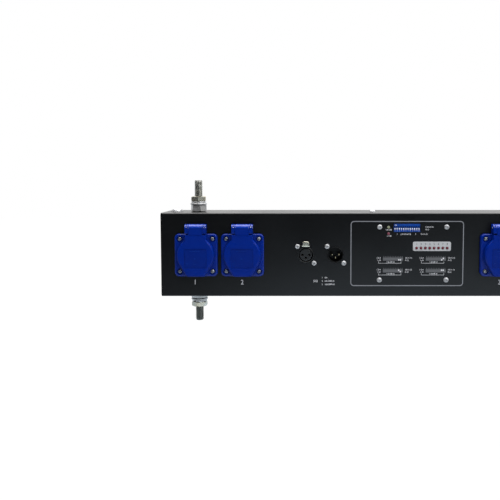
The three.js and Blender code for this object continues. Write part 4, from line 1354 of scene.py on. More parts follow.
@dataclass
class SignalSocket(Assembly):
    """A round three pin signal socket behind the panel, an outlet with a latch or an inlet with pins."""

    outlet: bool
    block_side: float = 0.027
    block_depth: float = 0.018
    block_corner: float = 0.0012
    block_edge: float = 0.0004
    collar_radius: float = 0.0092
    collar_proud: float = 0.0008
    collar_wall: float = 0.0008
    collar_edges: Sizes = (0, 0.0002, 0.00025, 0.0003, 0, 0.0003, 0.0003, 0)
    root_flange: float = 0.0025
    root_depth: float = 0.002
    groove_width: float = 0.0011
    groove_depth: float = 0.011
    core_edge: float = 0.0005
    contact_radius: float = 0.0013
    contact_half_pitch: float = 0.004
    contact_drop: float = 0.0036
    pin_length: float = 0.0098
    pin_radius: float = 0.0011
    pin_root: float = 0.0005
    screw_offset: float = 0.0098
    screw: Sizes = (0.0029, 0.0017, 0.5, 0.9)

    def __post_init__(self) -> None:
        """Find the socket's middle from its node's box."""
        self.node = "signal_outlet" if self.outlet else "signal_inlet"
        room = Room(self.node)
        self.x, self.z = room.low.x + self.block_side / 2, room.low.z + self.block_side / 2
        self.top = room.high.z

    def contact_places(self) -> list[Point]:
        """Middles of the three contacts about the socket's middle."""
        half = self.contact_half_pitch
        return [(-half, 0), (half, 0), (0, -self.contact_drop)]

    def on_front(self, shape: Shape) -> Shape:
        """Face a shape to the front at the socket's middle, with its base on the housing."""
        return self.at_front(shape, self.x, self.z, 0)

    def collar(self) -> Shape:
        """The round collar through the panel, with a ring wall round its cavity."""
        outer, proud, back = self.collar_radius, self.collar_proud, -self.sheet - self.fit_gap
        inner, rim = outer - self.collar_wall, outer + self.root_flange
        floor = proud - self.groove_depth - (0 if self.outlet else self.fit_gap)
        end = floor - self.root_depth
        corners = [(0, floor), (inner, floor), (inner, proud), (outer, proud), (outer, back), (rim, back),
                   (rim, end), (0, end)]
        return lathed(corners, self.collar_edges, 3, 64)

    def block(self) -> Shape:
        """The square body behind the panel, with its round way through."""
        height = self.top - self.z + self.block_side / 2
        middle = (self.top - self.z - self.block_side / 2) / 2
        outline = rectangle(self.block_side, height, self.block_corner, (0, middle))
        hole = circle(self.collar_radius + self.root_flange + self.fit_gap)[::-1]
        body = plate([outline, hole], edge_rows(self.block_depth, self.block_edge, self.block_edge))
        return body.moved(z=-self.sheet - self.fit_gap - self.block_depth)

    def core(self) -> Shape:
        """The core of the outlet, with its three contact holes, a little lower than the collar."""
        radius = self.collar_radius - self.collar_wall - self.groove_width
        holes = [circle(self.contact_radius, 20, place)[::-1] for place in self.contact_places()]
        height = self.groove_depth - self.collar_radius * 0.1
        body = plate([circle(radius, 56), *holes], edge_rows(height, self.core_edge))
        return body.moved(z=self.collar_proud - self.groove_depth)

    def pins(self) -> Shape:
        """The three pins of the inlet, with domed tips."""
        one = pin(self.pin_radius, 0, self.pin_length, self.pin_radius * 0.85)
        floor = self.collar_proud - self.groove_depth - self.fit_gap - self.pin_root
        return one.repeated([(dx, dz, floor) for dx, dz in self.contact_places()])

    def screws(self) -> Shape:
        """Two bright screws, at the upper left and the lower right of the collar."""
        head = screw_head(*self.screw)
        offset = self.screw_offset
        return head.spun(0.2).moved(-offset, offset, 0).joined(head.spun(0.9).moved(offset, -offset, 0))

    def build(self) -> None:
        """Make the socket's pieces and dress them."""
        make = self.maker.piece
        body = self.collar().joined(self.block())
        if self.outlet:
            body = body.joined(self.core())
        moulding = Finish.BLACK if self.outlet else Finish.DARK_BLACK
        make(f"{self.node}_body", self.on_front(body), moulding, Slot.BLACK, stands_for=[self.node])
        make(f"{self.node}_screws", self.on_front(self.screws()), Finish.SCREW, Slot.ZINC)
        if not self.outlet:
            make(f"{self.node}_pins", self.on_front(self.pins()), Finish.BRASS, Slot.ZINC)


@dataclass
class Latch(Assembly):
    """The push latch over the signal outlet, a plated tab that narrows upwards, with a dished front."""

    corner: float = 0.0008
    crown_corner: float = 0.0024
    crown_share: float = 0.68
    edge: float = 0.0008
    dish_width: float = 0.0058
    dish_height: float = 0.0024
    dish_depth: float = 0.0007
    dish_drop: float = 0.0006

    def build(self) -> None:
        """Make the latch in the space of its node."""
        room = Room("outlet_latch")
        dish = rectangle(self.dish_width, self.dish_height, self.dish_height * 0.45, (0, -self.dish_drop))
        foot, crown, rise = room.width / 2, room.width / 2 * self.crown_share, room.height / 2
        corners = [(foot, -rise), (crown, rise), (-crown, rise), (-foot, -rise)]
        outline = filleted(corners, [self.corner, self.crown_corner, self.crown_corner, self.corner], 7)
        tab = plate([outline], edge_rows(room.depth, self.edge), [(dish[::-1], self.dish_depth)])
        self.maker.piece("outlet_latch_tab", room.filled(tab), Finish.NICKEL, Slot.LATCH, "latch",
                         ["outlet_latch"])


@dataclass
class ControlPanel(Assembly):
    """The printed control field: switch, sliders, channel strip, lamps, screws and plain figures."""

    centre_x: float = 0.2879
    centre_z: float = 0.0014
    width: float = 0.1322
    height: float = 0.0765
    corner: float = 0.004
    line: float = 0.001
    screw: Sizes = (0.003, 0.0018, 0.5, 0.9)
    screw_edge_x: float = 0.0059
    screw_edge_z: float = 0.00585
    ways: int = 12
    way_pitch: float = 0.00254
    slot_width: float = 0.0015
    slot_height: float = 0.0044
    slot_depth: float = 0.0025
    slot_corner: float = 0.0002
    switch_corner: float = 0.0004
    slider_edge: float = 0.00015
    switch_figure: float = 0.0011
    switch_figure_rise: float = 0.0015
    on_mark: Sizes = (0.0012, 0.0021, 0.0014)              # height, and how far in from the corner
    edge: float = 0.0003
    strip_corner: float = 0.002
    strip_thickness: float = 0.0008
    strip_figure: float = 0.0025
    strip_figure_drop: float = 0.0026
    lamp_count: int = 8
    lamp_pitch: float = 0.00508
    lamp_radius: float = 0.0015
    lamp_proud: float = 0.0011
    lamp_root: float = 0.004
    lamp_edge: float = 0.0012
    lamp_gap: float = 0.0003
    lamp_drop: float = 0.00195
    status_radius: float = 0.0016
    status_proud: float = 0.0017
    status_root: float = 0.008
    status_edge: float = 0.0007
    status_left: float = 0.0289
    status_drop: float = 0.0062
    status_pitch: float = 0.0074
    diagram_width: float = 0.0234
    diagram_height: float = 0.0038
    tick_width: float = 0.0006
    tick_height: float = 0.0015
    tick_rise: float = 0.0009
    mark_height: float = 0.0016
    mark_share: float = 0.72
    mark_levels: Point = (-0.0009, 0.0008)
    bracket_width: float = 0.0263
    bracket_tick: float = 0.0021
    bracket_line: float = 0.0003
    bracket_left: float = 0.0037
    bracket_drop: float = 0.0049
    picture_columns: Point = (0.2715, 0.3217)
    picture_rows: Point = (-0.005, -0.0189)
    small_figure: float = 0.0017
    big_figure: float = 0.0026
    line_numbers: float = 0.1888
    line_start: float = 0.1918
    squeeze: float = 0.95

    def outline(self) -> Shape:
        """The printed frame round the controls."""
        outer = rectangle(self.width, self.height, self.corner)
        inner = rectangle(self.width - 2 * self.line, self.height - 2 * self.line, self.corner - self.line)
        frame = plate([outer, inner[::-1]], [(0, 0), (0, INK)])
        return self.at_front(frame, self.layout.left + self.centre_x, self.layout.middle + self.centre_z)

    def screws(self) -> Shape:
        """Four bright screws that hold the control board, each turned another way."""
        low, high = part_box("control_board")
        head = screw_head(*self.screw)
        columns = (low.x + self.screw_edge_x, high.x - self.screw_edge_x)
        rows = (low.z + self.screw_edge_z, high.z - self.screw_edge_z)
        places = [(x, z) for x in columns for z in rows]
        return Shape().joined(*[
            self.at_front(head.spun(0.5 * index), *place, 0) for index, place in enumerate(places)])

    def switch(self) -> Shape:
        """The slide switch's block, with a slot for each way."""
        room = Room("slide_switch")
        slots = [
            (rectangle(self.slot_width, self.slot_height, self.slot_corner, (x, 0))[::-1], self.slot_depth)
            for x in in_a_row(self.ways, self.way_pitch)
        ]
        outline = rectangle(room.width, room.height, self.switch_corner)
        return room.filled(plate([outline], edge_rows(room.depth, self.edge), slots))

    def sliders(self) -> None:
        """The twelve sliders, each a small ribbed block on its own body."""
        for way in range(1, self.ways + 1):
            room = Room(f"slider_{way}")
            width, height = room.width, room.height
            rib = rectangle(width * 0.7, height * 0.16, height * 0.05)[::-1]
            ribs = [(rib + (0, side * 0.22 * height), height * 0.08) for side in BOTH]
            outline = rectangle(width, height, width * 0.15)
            tab = plate([outline], edge_rows(room.depth, self.slider_edge), ribs)
            self.maker.piece(f"slider_{way}_tab", room.filled(tab), Finish.SLIDER_WHITE, Slot.WHITE,
                             f"way_{way}", [f"slider_{way}"])

    def switch_figures(self) -> Shape:
        """Tiny figures under the slots, and ON at the corner of the switch."""
        room = Room("slide_switch")
        out = self.layout.front - room.low.y - SEAT
        marks = [
            self.at_front(lettering(str(way), self.switch_figure), room.x + x,
                          room.low.z + self.switch_figure_rise, out)
            for way, x in enumerate(in_a_row(self.ways, self.way_pitch), 1)
        ]
        height, right, down = self.on_mark
        on = self.at_front(lettering("ON", height), room.low.x + right, room.high.z - down, out)
        return Shape().joined(*marks, on)

    def strip(self) -> Shape:
        """The channel strip's plate, with a hole round each lamp."""
        room = Room("channel_strip")
        places, z = self.lamp_places()
        radius = self.lamp_radius + self.lamp_gap
        outline = rectangle(room.width, room.height, self.strip_corner)
        holes = [circle(radius, 28, (x - room.x, z - room.z))[::-1] for x in places]
        rows = edge_rows(self.strip_thickness, self.edge)
        body = Shape().grid(wall(outline, rows), closed=True)
        body.add(*cap([inset(outline, rows[-1][0]), *holes], rows[-1][1])).add(*cap([outline, *holes], 0))
        for hole in holes:
            body.grid(wall(hole, [(0, 0), (0, rows[-1][1])]), closed=True)
        return self.at_front(body, room.x, room.z, self.fit_gap)

    def lamp_places(self) -> tuple[list[float], float]:
        """Middles of the strip's eight lamps along the bar, and their height."""
        room = Room("channel_strip")
        places = [room.x + x for x in in_a_row(self.lamp_count, self.lamp_pitch)]
        return places, room.z - self.lamp_drop

    def strip_lamps(self) -> Shape:
        """The eight lamps of the strip."""
        places, z = self.lamp_places()
        dome = pin(self.lamp_radius, -self.lamp_root, self.lamp_proud, self.lamp_edge, 7, 28)
        front = self.fit_gap + self.strip_thickness
        return Shape().joined(*[self.at_front(dome, x, z, front) for x in places])

    def strip_figures(self) -> Shape:
        """The numbers 1 to 8 over the lamps."""
        z = Room("channel_strip").high.z - self.strip_figure_drop
        out = self.fit_gap + self.strip_thickness - SEAT
        return Shape().joined(*[
            self.at_front(lettering(str(index), self.strip_figure), x, z, out)
            for index, x in enumerate(self.lamp_places()[0], 1)
        ])

    def status_lamps(self) -> None:
        """The two status lamps at the left of the switch."""
        dome = pin(self.status_radius, -self.status_root, self.status_proud, self.status_edge, 7, 28)
        kinds = (("upper", Finish.STATUS_CLEAR), ("lower", Finish.STATUS_RED))
        for (name, finish), place in zip(kinds, self.status_places()):
            self.maker.piece(f"status_lamp_{name}", self.at_front(dome, *place, 0), finish, Slot.STRIP)

    def status_places(self) -> list[Point]:
        """Middles of the upper and the lower status lamp."""
        board = Room("control_board")
        x, top = board.x - self.status_left, board.high.z - self.status_drop
        return [(x, top), (x, top - self.status_pitch)]

    def bar(self, width: float, height: float, x: float, z: float, out: float = -SEAT) -> Shape:
        """A printed bar at a place on the front."""
        return self.at_front(plate([rectangle(width, height)], [(0, 0), (0, INK)]), x, z, out)

    def diagrams(self) -> tuple[Shape, Shape]:
        """Four printed pictures of the switch, as grey fields and as pale marks on and under them.

        Returns:
            The grey fields with their ticks, and the pale marks with their brackets.
        """
        fields, marks = [], []
        cell = self.diagram_width / self.ways
        steps = in_a_row(self.ways, cell)
        raised = (((9, 0), (10, 0)), ((9, 0), (10, 1)), ((9, 1), (10, 0)), ((9, 1), (10, 1)))
        places = [(column, row) for row in self.picture_rows for column in self.picture_columns]
        for (column, row), ways in zip(places, raised):
            x, z = self.layout.left + column, self.layout.middle + row
            fields.append(self.bar(self.diagram_width, self.diagram_height, x, z))
            above = z + self.diagram_height / 2 + self.tick_rise
            fields += [self.bar(self.tick_width, self.tick_height, x + step, above) for step in steps]
            marks += [
                self.bar(cell * self.mark_share, self.mark_height, x + steps[way],
                         z + self.mark_levels[up], INK - SEAT)
                for way, up in ways
            ]
            marks += self.bracket(x - self.bracket_left, z - self.bracket_drop)
        return Shape().joined(*fields), Shape().joined(*marks)

    def bracket(self, x: float, z: float) -> list[Shape]:
        """A thin line with a short tick up at both ends."""
        width, tick, line = self.bracket_width, self.bracket_tick, self.bracket_line
        ends = [self.bar(line, tick, x + side * width / 2, z + tick / 2) for side in BOTH]
        return [self.bar(width, line, x, z), *ends]

    def figures(self) -> Shape:
        """Plain figures beside the pictures, under the lamps and the switch, and by the signal sockets."""
        left, middle, small, big = self.layout.left, self.layout.middle, self.small_figure, self.big_figure
        marks = [
            ("1-2-4-8-16", 0.3137, 0.0327), ("0-12", 0.3113, 0.0297), ("1", 0.2762, 0.0243),
            ("2-3-4-5-6-7-8", 0.2861, 0.0243), ("9", 0.2976, 0.0243), ("10-11-12", 0.3077, 0.0243),
            ("100-200", 0.2664, 0.0294), ("0-100", 0.2668, 0.0222),
        ]
        beside = (
            ("1-2-4", -0.0166, 0.0014), ("1-10", -0.0162, -0.0014), ("10-11-12", 0.0184, 0.0014),
            ("0-12", 0.0162, -0.0014), ("1-2-4-8-16", -0.0026, -0.0034),
        )
        lines = (("1", "0-0", -0.0269), ("2", "100-1000-10", -0.0309), ("3", "200-2000-20", -0.0348))
        marks += [(number, self.line_numbers, z) for number, _, z in lines]
        marks += [
            (text, column + dx, row + dz)
            for column in self.picture_columns for row in self.picture_rows for text, dx, dz in beside
        ]
        rows = [("512", big, 0.1809, -0.0309, False)] + [(text, small, x, z, False) for text, x, z in marks]
        rows += [(text, small, self.line_start, z, True) for _, text, z in lines]
        return Shape().joined(*[
            self.at_front(lettering(text, height, self.squeeze, from_left=from_left), left + x, middle + z)
            for text, height, x, z, from_left in rows
        ])

    def build(self) -> None:
        """Make the panel's pieces and dress them."""
        make = self.maker.piece
        make("control_frame_line", self.outline(), Finish.FRAME_INK, Slot.STRIP)
        make("control_board_screws", self.screws(), Finish.SCREW, Slot.ZINC)
        make("slide_switch_block", self.switch(), Finish.SWITCH_BLUE, Slot.SWITCH,
             stands_for=["slide_switch"])
        make("slide_switch_figures", self.switch_figures(), Finish.INK, Slot.WHITE)
        self.sliders()
        make("channel_strip_plate", self.strip(), Finish.STRIP_GREY, Slot.STRIP, stands_for=["channel_strip"])
        make("channel_strip_lamps", self.strip_lamps(), Finish.RED_LENS, Slot.STRIP)
        make("channel_strip_figures", self.strip_figures(), Finish.BLACK_INK, Slot.BLACK)
        self.status_lamps()
        fields, marks = self.diagrams()
        make("switch_picture_fields", fields, Finish.GREY_INK, Slot.STRIP)
        make("switch_picture_marks", marks, Finish.INK, Slot.STRIP)
        make("panel_figures", self.figures(), Finish.INK, Slot.STRIP)


@dataclass
class Housing(Assembly):
    """The folded housing with its two end plates, the rear cover, and the small screws in them.

    A washer's sizes are its radius, bore and height, and a vent's are its width, height and corners.
    """

    bend: float = 0.00155
    lip: float = 0.014
    relief: float = 0.0019
    seam: float = 0.0002
    window_corner: float = 0.0003
    stud_radius: float = 0.005
    vent: Sizes = (0.046, 0.003, 0.00149)
    vent_offset: float = 0.084
    vent_pitch: float = 0.009
    vent_rows: int = 6
    cover_corner: float = 0.001
    cover_edge: float = 0.0002
    cover_hole: float = 0.0031
    cover_screw: Sizes = (0.003, 0.0006, 0.5, 1.6)
    cover_screw_reach: float = 0.739
    cover_screw_columns: int = 9
    cover_screw_rise: float = 0.0415
    cover_screw_sunk: float = 0.0007
    heat_sink_screw: Sizes = (0.0038, 0.0024, 0.5)
    heat_sink_screw_back: float = 0.022
    end_screw: Sizes = (0.0066, 0.0034, 0.36)
    end_washer: Sizes = (0.0072, 0.003, 0.0009)
    end_screw_in: float = 0.0137
    end_screw_back: float = 0.03
    end_screw_lift: float = 0.0006
    label_corner: float = 0.002

    def wrap_sheet(self) -> BentSheet:
        """The sheet that runs from the lower rear lip round the front to the upper rear lip."""
        place = self.layout
        corners = (
            (place.tray_rear, place.bottom + self.lip), (place.tray_rear, place.bottom),
            (place.front, place.bottom), (place.front, place.top), (place.tray_rear, place.top),
            (place.tray_rear, place.top - self.lip),
        )
        return BentSheet(corners, self.bend, self.sheet)

    def front_holes(self, sheet: BentSheet) -> list[Array]:
        """Holes in the front for the outlets, sockets, switch, lamps, inlet and fuses."""
        place, maker, middle = self.layout, self.maker, self.layout.middle
        body = Outlet(place, maker, 1).body_radius()
        plugs = [(body, x, middle) for x in place.outlets]
        for outlet in (True, False):
            socket = SignalSocket(place, maker, outlet)
            plugs.append((socket.collar_radius, socket.x, socket.z))
        panel, inlet = ControlPanel(place, maker), MainsInlet(place, maker)
        lamps, level = panel.lamp_places()
        others = [(panel.lamp_radius, x, level) for x in lamps]
        others += [(panel.lamp_radius, *lamp) for lamp in panel.status_places()]
        others.append((inlet.shroud_radius, inlet.x, middle))
        for side in ENDS:
            strip = FuseStrip(place, maker, side)
            others += [(strip.body_radius, strip.x, z) for z in strip.places()]
        windows = [self.window(sheet, Room(node)) for node in ("outlet_latch", "slide_switch")]
        before, after = (
            [self.bored(sheet, radius, x, place.front, z) for radius, x, z in rounds]
            for rounds in (plugs, others)
        )
        return before + windows + after

    def bored(self, sheet: BentSheet, radius: float, x: float, p: float, q: float) -> Array:
        """A round hole in the flat pattern, clockwise, round what stands at a point of the outer face."""
        return circle(radius + self.fit_gap, 48, (x, sheet.station(p, q)))[::-1]

    def window(self, sheet: BentSheet, room: Room) -> Array:
        """A four-sided hole in the front of the flat pattern, clockwise, round what fills a box."""
        width, height = room.width + 2 * self.fit_gap, room.height + 2 * self.fit_gap
        centre = (room.x, sheet.station(self.layout.front, room.z))
        return rectangle(width, height, self.window_corner, centre)[::-1]

    def flat_holes(self, sheet: BentSheet) -> list[Array]:
        """Holes in the top and the bottom for the studs, and in the bottom for the bracket."""
        place, bracket = self.layout, StandBracket(self.layout, self.maker)
        rods = [(self.stud_radius, x, 0, z) for x in place.studs for z in (place.top, place.bottom)]
        rods += [(bracket.bolt_radius, x, y, place.bottom) for x, y in bracket.bolt_places()]
        return [self.bored(sheet, *rod) for rod in rods]

    def wrap(self) -> Shape:
        """The wrap-round sheet with all of its holes, in X, Y and Z."""
        sheet = self.wrap_sheet()
        holes = self.front_holes(sheet) + self.flat_holes(sheet)
        return sheet.folded(self.layout.left, self.layout.right, holes, self.relief)

    def end_plate(self, side: int) -> Shape:
        """One end plate inside the wrap, with its own lip at the rear."""
        place = self.layout
        outer = place.left if side < 0 else place.right
        front, rear = place.front + self.sheet + self.seam, place.tray_rear
        corners = ((outer, front), (outer, rear), (outer - side * self.lip, rear))
        sheet = BentSheet(corners if side < 0 else corners[::-1], self.bend, self.sheet)
        low, high = place.bottom + self.sheet + self.seam, place.top - self.sheet - self.seam
        return sheet.folded(low, high).turned(((0, 1, 0), (0, 0, 1), (1, 0, 0)))

    def cover(self) -> Shape:
        """The rear cover, with round-ended vent slots and holes for its countersunk screws."""
        room = Room("rear_cover")
        width, height, corner = self.vent
        slots = [rectangle(width, height, corner, place)[::-1] for place in self.vent_places()]
        holes = [circle(self.cover_hole, 20, place)[::-1] for place in self.cover_screw_places()]
        outline = rectangle(room.width, room.height, self.cover_corner)
        cover = plate([outline, *slots, *holes], edge_rows(room.depth, self.cover_edge, steps=2))
        return cover.facing(Facing.REAR).moved(room.x, room.low.y, room.z)

    def vent_places(self) -> list[Point]:
        """Middles of the vent slots, as seen on the cover."""
        columns = [-Room(f"dimmer_board_{side}").x for side in ENDS]
        rows = in_a_row(self.vent_rows, self.vent_pitch)
        return [(x + side * self.vent_offset, row) for x in columns for side in BOTH for row in rows]

    def cover_screw_places(self) -> list[Point]:
        """Middles of the cover's screws, in a row along each of its long sides."""
        columns = np.linspace(-self.cover_screw_reach, self.cover_screw_reach, self.cover_screw_columns)
        return [(float(x), side * self.cover_screw_rise) for x in columns for side in BOTH]

    def cover_screws(self) -> Shape:
        """Screws with low heads, sunk flush with the cover."""
        room = Room("rear_cover")
        head = screw_head(*self.cover_screw)
        heads = [
            head.spun(0.8 * index).moved(*place, room.depth - self.cover_screw_sunk)
            for index, place in enumerate(self.cover_screw_places())
        ]
        return Shape().joined(*heads).facing(Facing.REAR).moved(0, room.low.y, self.layout.middle)

    def top_screws(self) -> Shape:
        """One pan head screw over each heat sink, and a broad one near each end of the top."""
        place = self.layout
        small, broad = screw_head(*self.heat_sink_screw), screw_head(*self.end_screw)
        flange = washer(*self.end_washer)
        heads = [
            small.moved(Room(f"heat_sink_{side}").x, place.front + self.heat_sink_screw_back, place.top)
            for side in ENDS
        ]
        for side, x in zip(BOTH, (place.left, place.right)):
            screw = flange.joined(broad.spun(0.6 * side).moved(z=self.end_screw_lift))
            heads.append(
                screw.moved(x - side * self.end_screw_in, place.front + self.end_screw_back, place.top))
        return Shape().joined(*heads)

    def labels(self) -> None:
        """A bare rating plate by the middle, and a bare label near the right end."""
        plates = (
            ("rating_plate", 0.663, 0.05, 0.07, 0.0006, Finish.ALUMINIUM, Slot.ALUMINIUM),
            ("end_label", 1.252, 0.074, 0.032, 0.0002, Finish.STRIP_GREY, Slot.STRIP),
        )
        for name, x, width, height, thickness, finish, slot in plates:
            outline = rectangle(width, height, self.label_corner)
            label = plate([outline], edge_rows(thickness, thickness / 2, steps=2))
            label = self.at_front(label, self.layout.left + x, self.layout.middle)
            self.maker.piece(name, label, finish, slot)

    def build(self) -> None:
        """Make the housing's pieces and dress them."""
        make = self.maker.piece
        make("housing_wrap", self.wrap(), Finish.PAINT, Slot.HOUSING, stands_for=["housing"])
        for name, side in zip(ENDS, BOTH):
            end = self.end_plate(side)
            make(f"housing_end_{name}", end, Finish.PAINT, Slot.HOUSING, stands_for=["housing"])
        make("rear_cover_plate", self.cover(), Finish.PAINT, Slot.HOUSING, stands_for=["rear_cover"])
        make("rear_cover_screws", self.cover_screws(), Finish.ZINC, Slot.ZINC)
        make("top_screws", self.top_screws(), Finish.SCREW, Slot.ZINC)
        self.labels()


@dataclass
class MainsInlet(Assembly):
    """The mains inlet: flange, shroud, five pins, key ribs and flange screws."""

    flange: float = 0.058
    corner: float = 0.004
    thickness: float = 0.004
    edge: float = 0.0009
    shroud_radius: float = 0.024
    shroud_wall: float = 0.0025
    shroud_edge: float = 0.0008
    shroud_overlap: float = 0.0002
    body_depth: float = 0.026
    body_edge: float = 0.001
    rib: Sizes = (0.004, 0.0022, 0.0004)                   # width, height and corners
    rib_in: float = 0.0008
    rib_short: float = 0.002
    root: float = 0.0005
    pin_count: int = 5
    pin_radius: float = 0.0025
    pin_circle: float = 0.013
    pin_length: float = 0.016
    screw_pitch: float = 0.0475
    screw: Sizes = (0.0033, 0.002, 0.5)

    def __post_init__(self) -> None:
        """Find the inlet's middle and how far its shroud reaches."""
        room = Room("mains_inlet")
        self.x, self.z = room.x, room.z
        self.reach = self.panel - room.low.y

    def body(self) -> Shape:
        """Flange with round edges, and the shroud turned as one with the body behind it."""
        outer, inner = self.shroud_radius, self.shroud_radius - self.shroud_wall
        hole = circle(outer - self.shroud_overlap, 64)[::-1]
        outline = rectangle(self.flange, self.flange, self.corner)
        flange = plate([outline, hole], edge_rows(self.thickness, self.edge))
        corners = [(0, 0), (inner, 0), (inner, self.reach), (outer, self.reach), (outer, -self.body_depth),
                   (0, -self.body_depth)]
        edge, rim = self.body_edge, self.shroud_edge
        shroud = lathed(corners, [0, edge, rim, rim, edge, 0], 4, 64)
        width, height, corner = self.rib
        rib = plate([rectangle(width, height, corner, (0, inner - self.rib_in))],
                    edge_rows(self.reach - self.rib_short, corner))
        return flange.joined(shroud, *[rib.spun(angle).moved(z=-self.root) for angle in (0, 2.3, -2.3)])

    def pins(self) -> Shape:
        """Five pins on a circle, with domed tips."""
        one = pin(self.pin_radius, -self.root, self.pin_length, self.pin_radius * 0.8, sides=24)
        angles = -pi / 2 + np.arange(self.pin_count) * 2 * pi / self.pin_count
        return one.repeated([(self.pin_circle * cos(a), self.pin_circle * sin(a), 0) for a in angles])

    def screws(self) -> Shape:
        """Four cross head screws on the flange."""
        half = self.screw_pitch / 2
        head = screw_head(*self.screw)
        return head.repeated([(dx * half, dz * half, self.thickness) for dx in BOTH for dz in BOTH])

    def build(self) -> None:
        """Make the inlet's pieces and dress them."""
        pieces = (
            ("body", self.body(), Finish.BLACK, Slot.BLACK, ["mains_inlet"]),
            ("pins", self.pins(), Finish.BRASS, Slot.ZINC, []),
            ("screws", self.screws(), Finish.SCREW, Slot.ZINC, []),
        )
        for name, shape, finish, slot, nodes in pieces:
            self.maker.piece(f"mains_inlet_{name}", self.at_panel(shape), finish, slot, stands_for=nodes)


@dataclass
class FuseStrip(Assembly):
    """A narrow plate with four fuse holders, their caps fluted for the fingers."""

    side: str
    plate_width: float = 0.015
    plate_thickness: float = 0.0012
    plate_corner: float = 0.0012
    plate_edge: float = 0.0003
    count: int = 4
    pitch: float = 0.0155
    cap_radius: float = 0.0055
    cap_reach: float = 0.007
    cap_edge: float = 0.0007
    slot_width: float = 0.0012
    slot_depth: float = 0.0011
    body_radius: float = 0.0062
    body_depth: float = 0.028
    flutes: int = 16
    flute_share: float = 0.03

    def __post_init__(self) -> None:
        """Find the strip's middle."""
        self.node = f"fuse_strip_{self.side}"
        room = Room(self.node)
        self.x, self.z, self.height = room.x, self.layout.middle, room.height

    def places(self) -> list[float]:
        """Heights of the four holders."""
        return [self.z + step for step in in_a_row(self.count, self.pitch)]

    def strip(self) -> Shape:
        """The plate with the bodies of the holders behind it."""
        outline = rectangle(self.plate_width, self.height, self.plate_corner)
        radius, depth = self.body_radius, self.body_depth
        barrel = revolved([(0, 0), (radius, 0), (radius, -depth), (0, -depth)], 32)
        body = plate([outline], edge_rows(self.plate_thickness, self.plate_edge))
        return body.joined(barrel.repeated([(0, z - self.z, 0) for z in self.places()]))

    def cap(self) -> Shape:
        """A cap: its radius is R (1 - 0.03 (1 - cos(n a))), and a coin slot is cut across its top."""
        slot = rectangle(self.cap_radius * 1.25, self.slot_width, self.slot_width / 4)[::-1]
        angle = one_turn(6 * self.flutes)
        radius = self.cap_radius * (1 - self.flute_share * (1 - np.cos(self.flutes * angle)))
        outline = radius[:, None] * np.stack([np.cos(angle), np.sin(angle)], axis=1)
        return plate([outline], edge_rows(self.cap_reach, self.cap_edge), [(slot, self.slot_depth)])

    def build(self) -> None:
        """Make the strip and its caps, each turned another way."""
        caps = Shape().joined(*[
            self.cap().spun(0.5 * index).moved(0, z - self.z, self.plate_thickness)
            for index, z in enumerate(self.places())
        ])
        make = self.maker.piece
        make(f"{self.node}_plate", self.at_panel(self.strip()), Finish.IVORY, Slot.WHITE,
             stands_for=[self.node])
        make(f"{self.node}_caps", self.at_panel(caps), Finish.IVORY, Slot.WHITE)


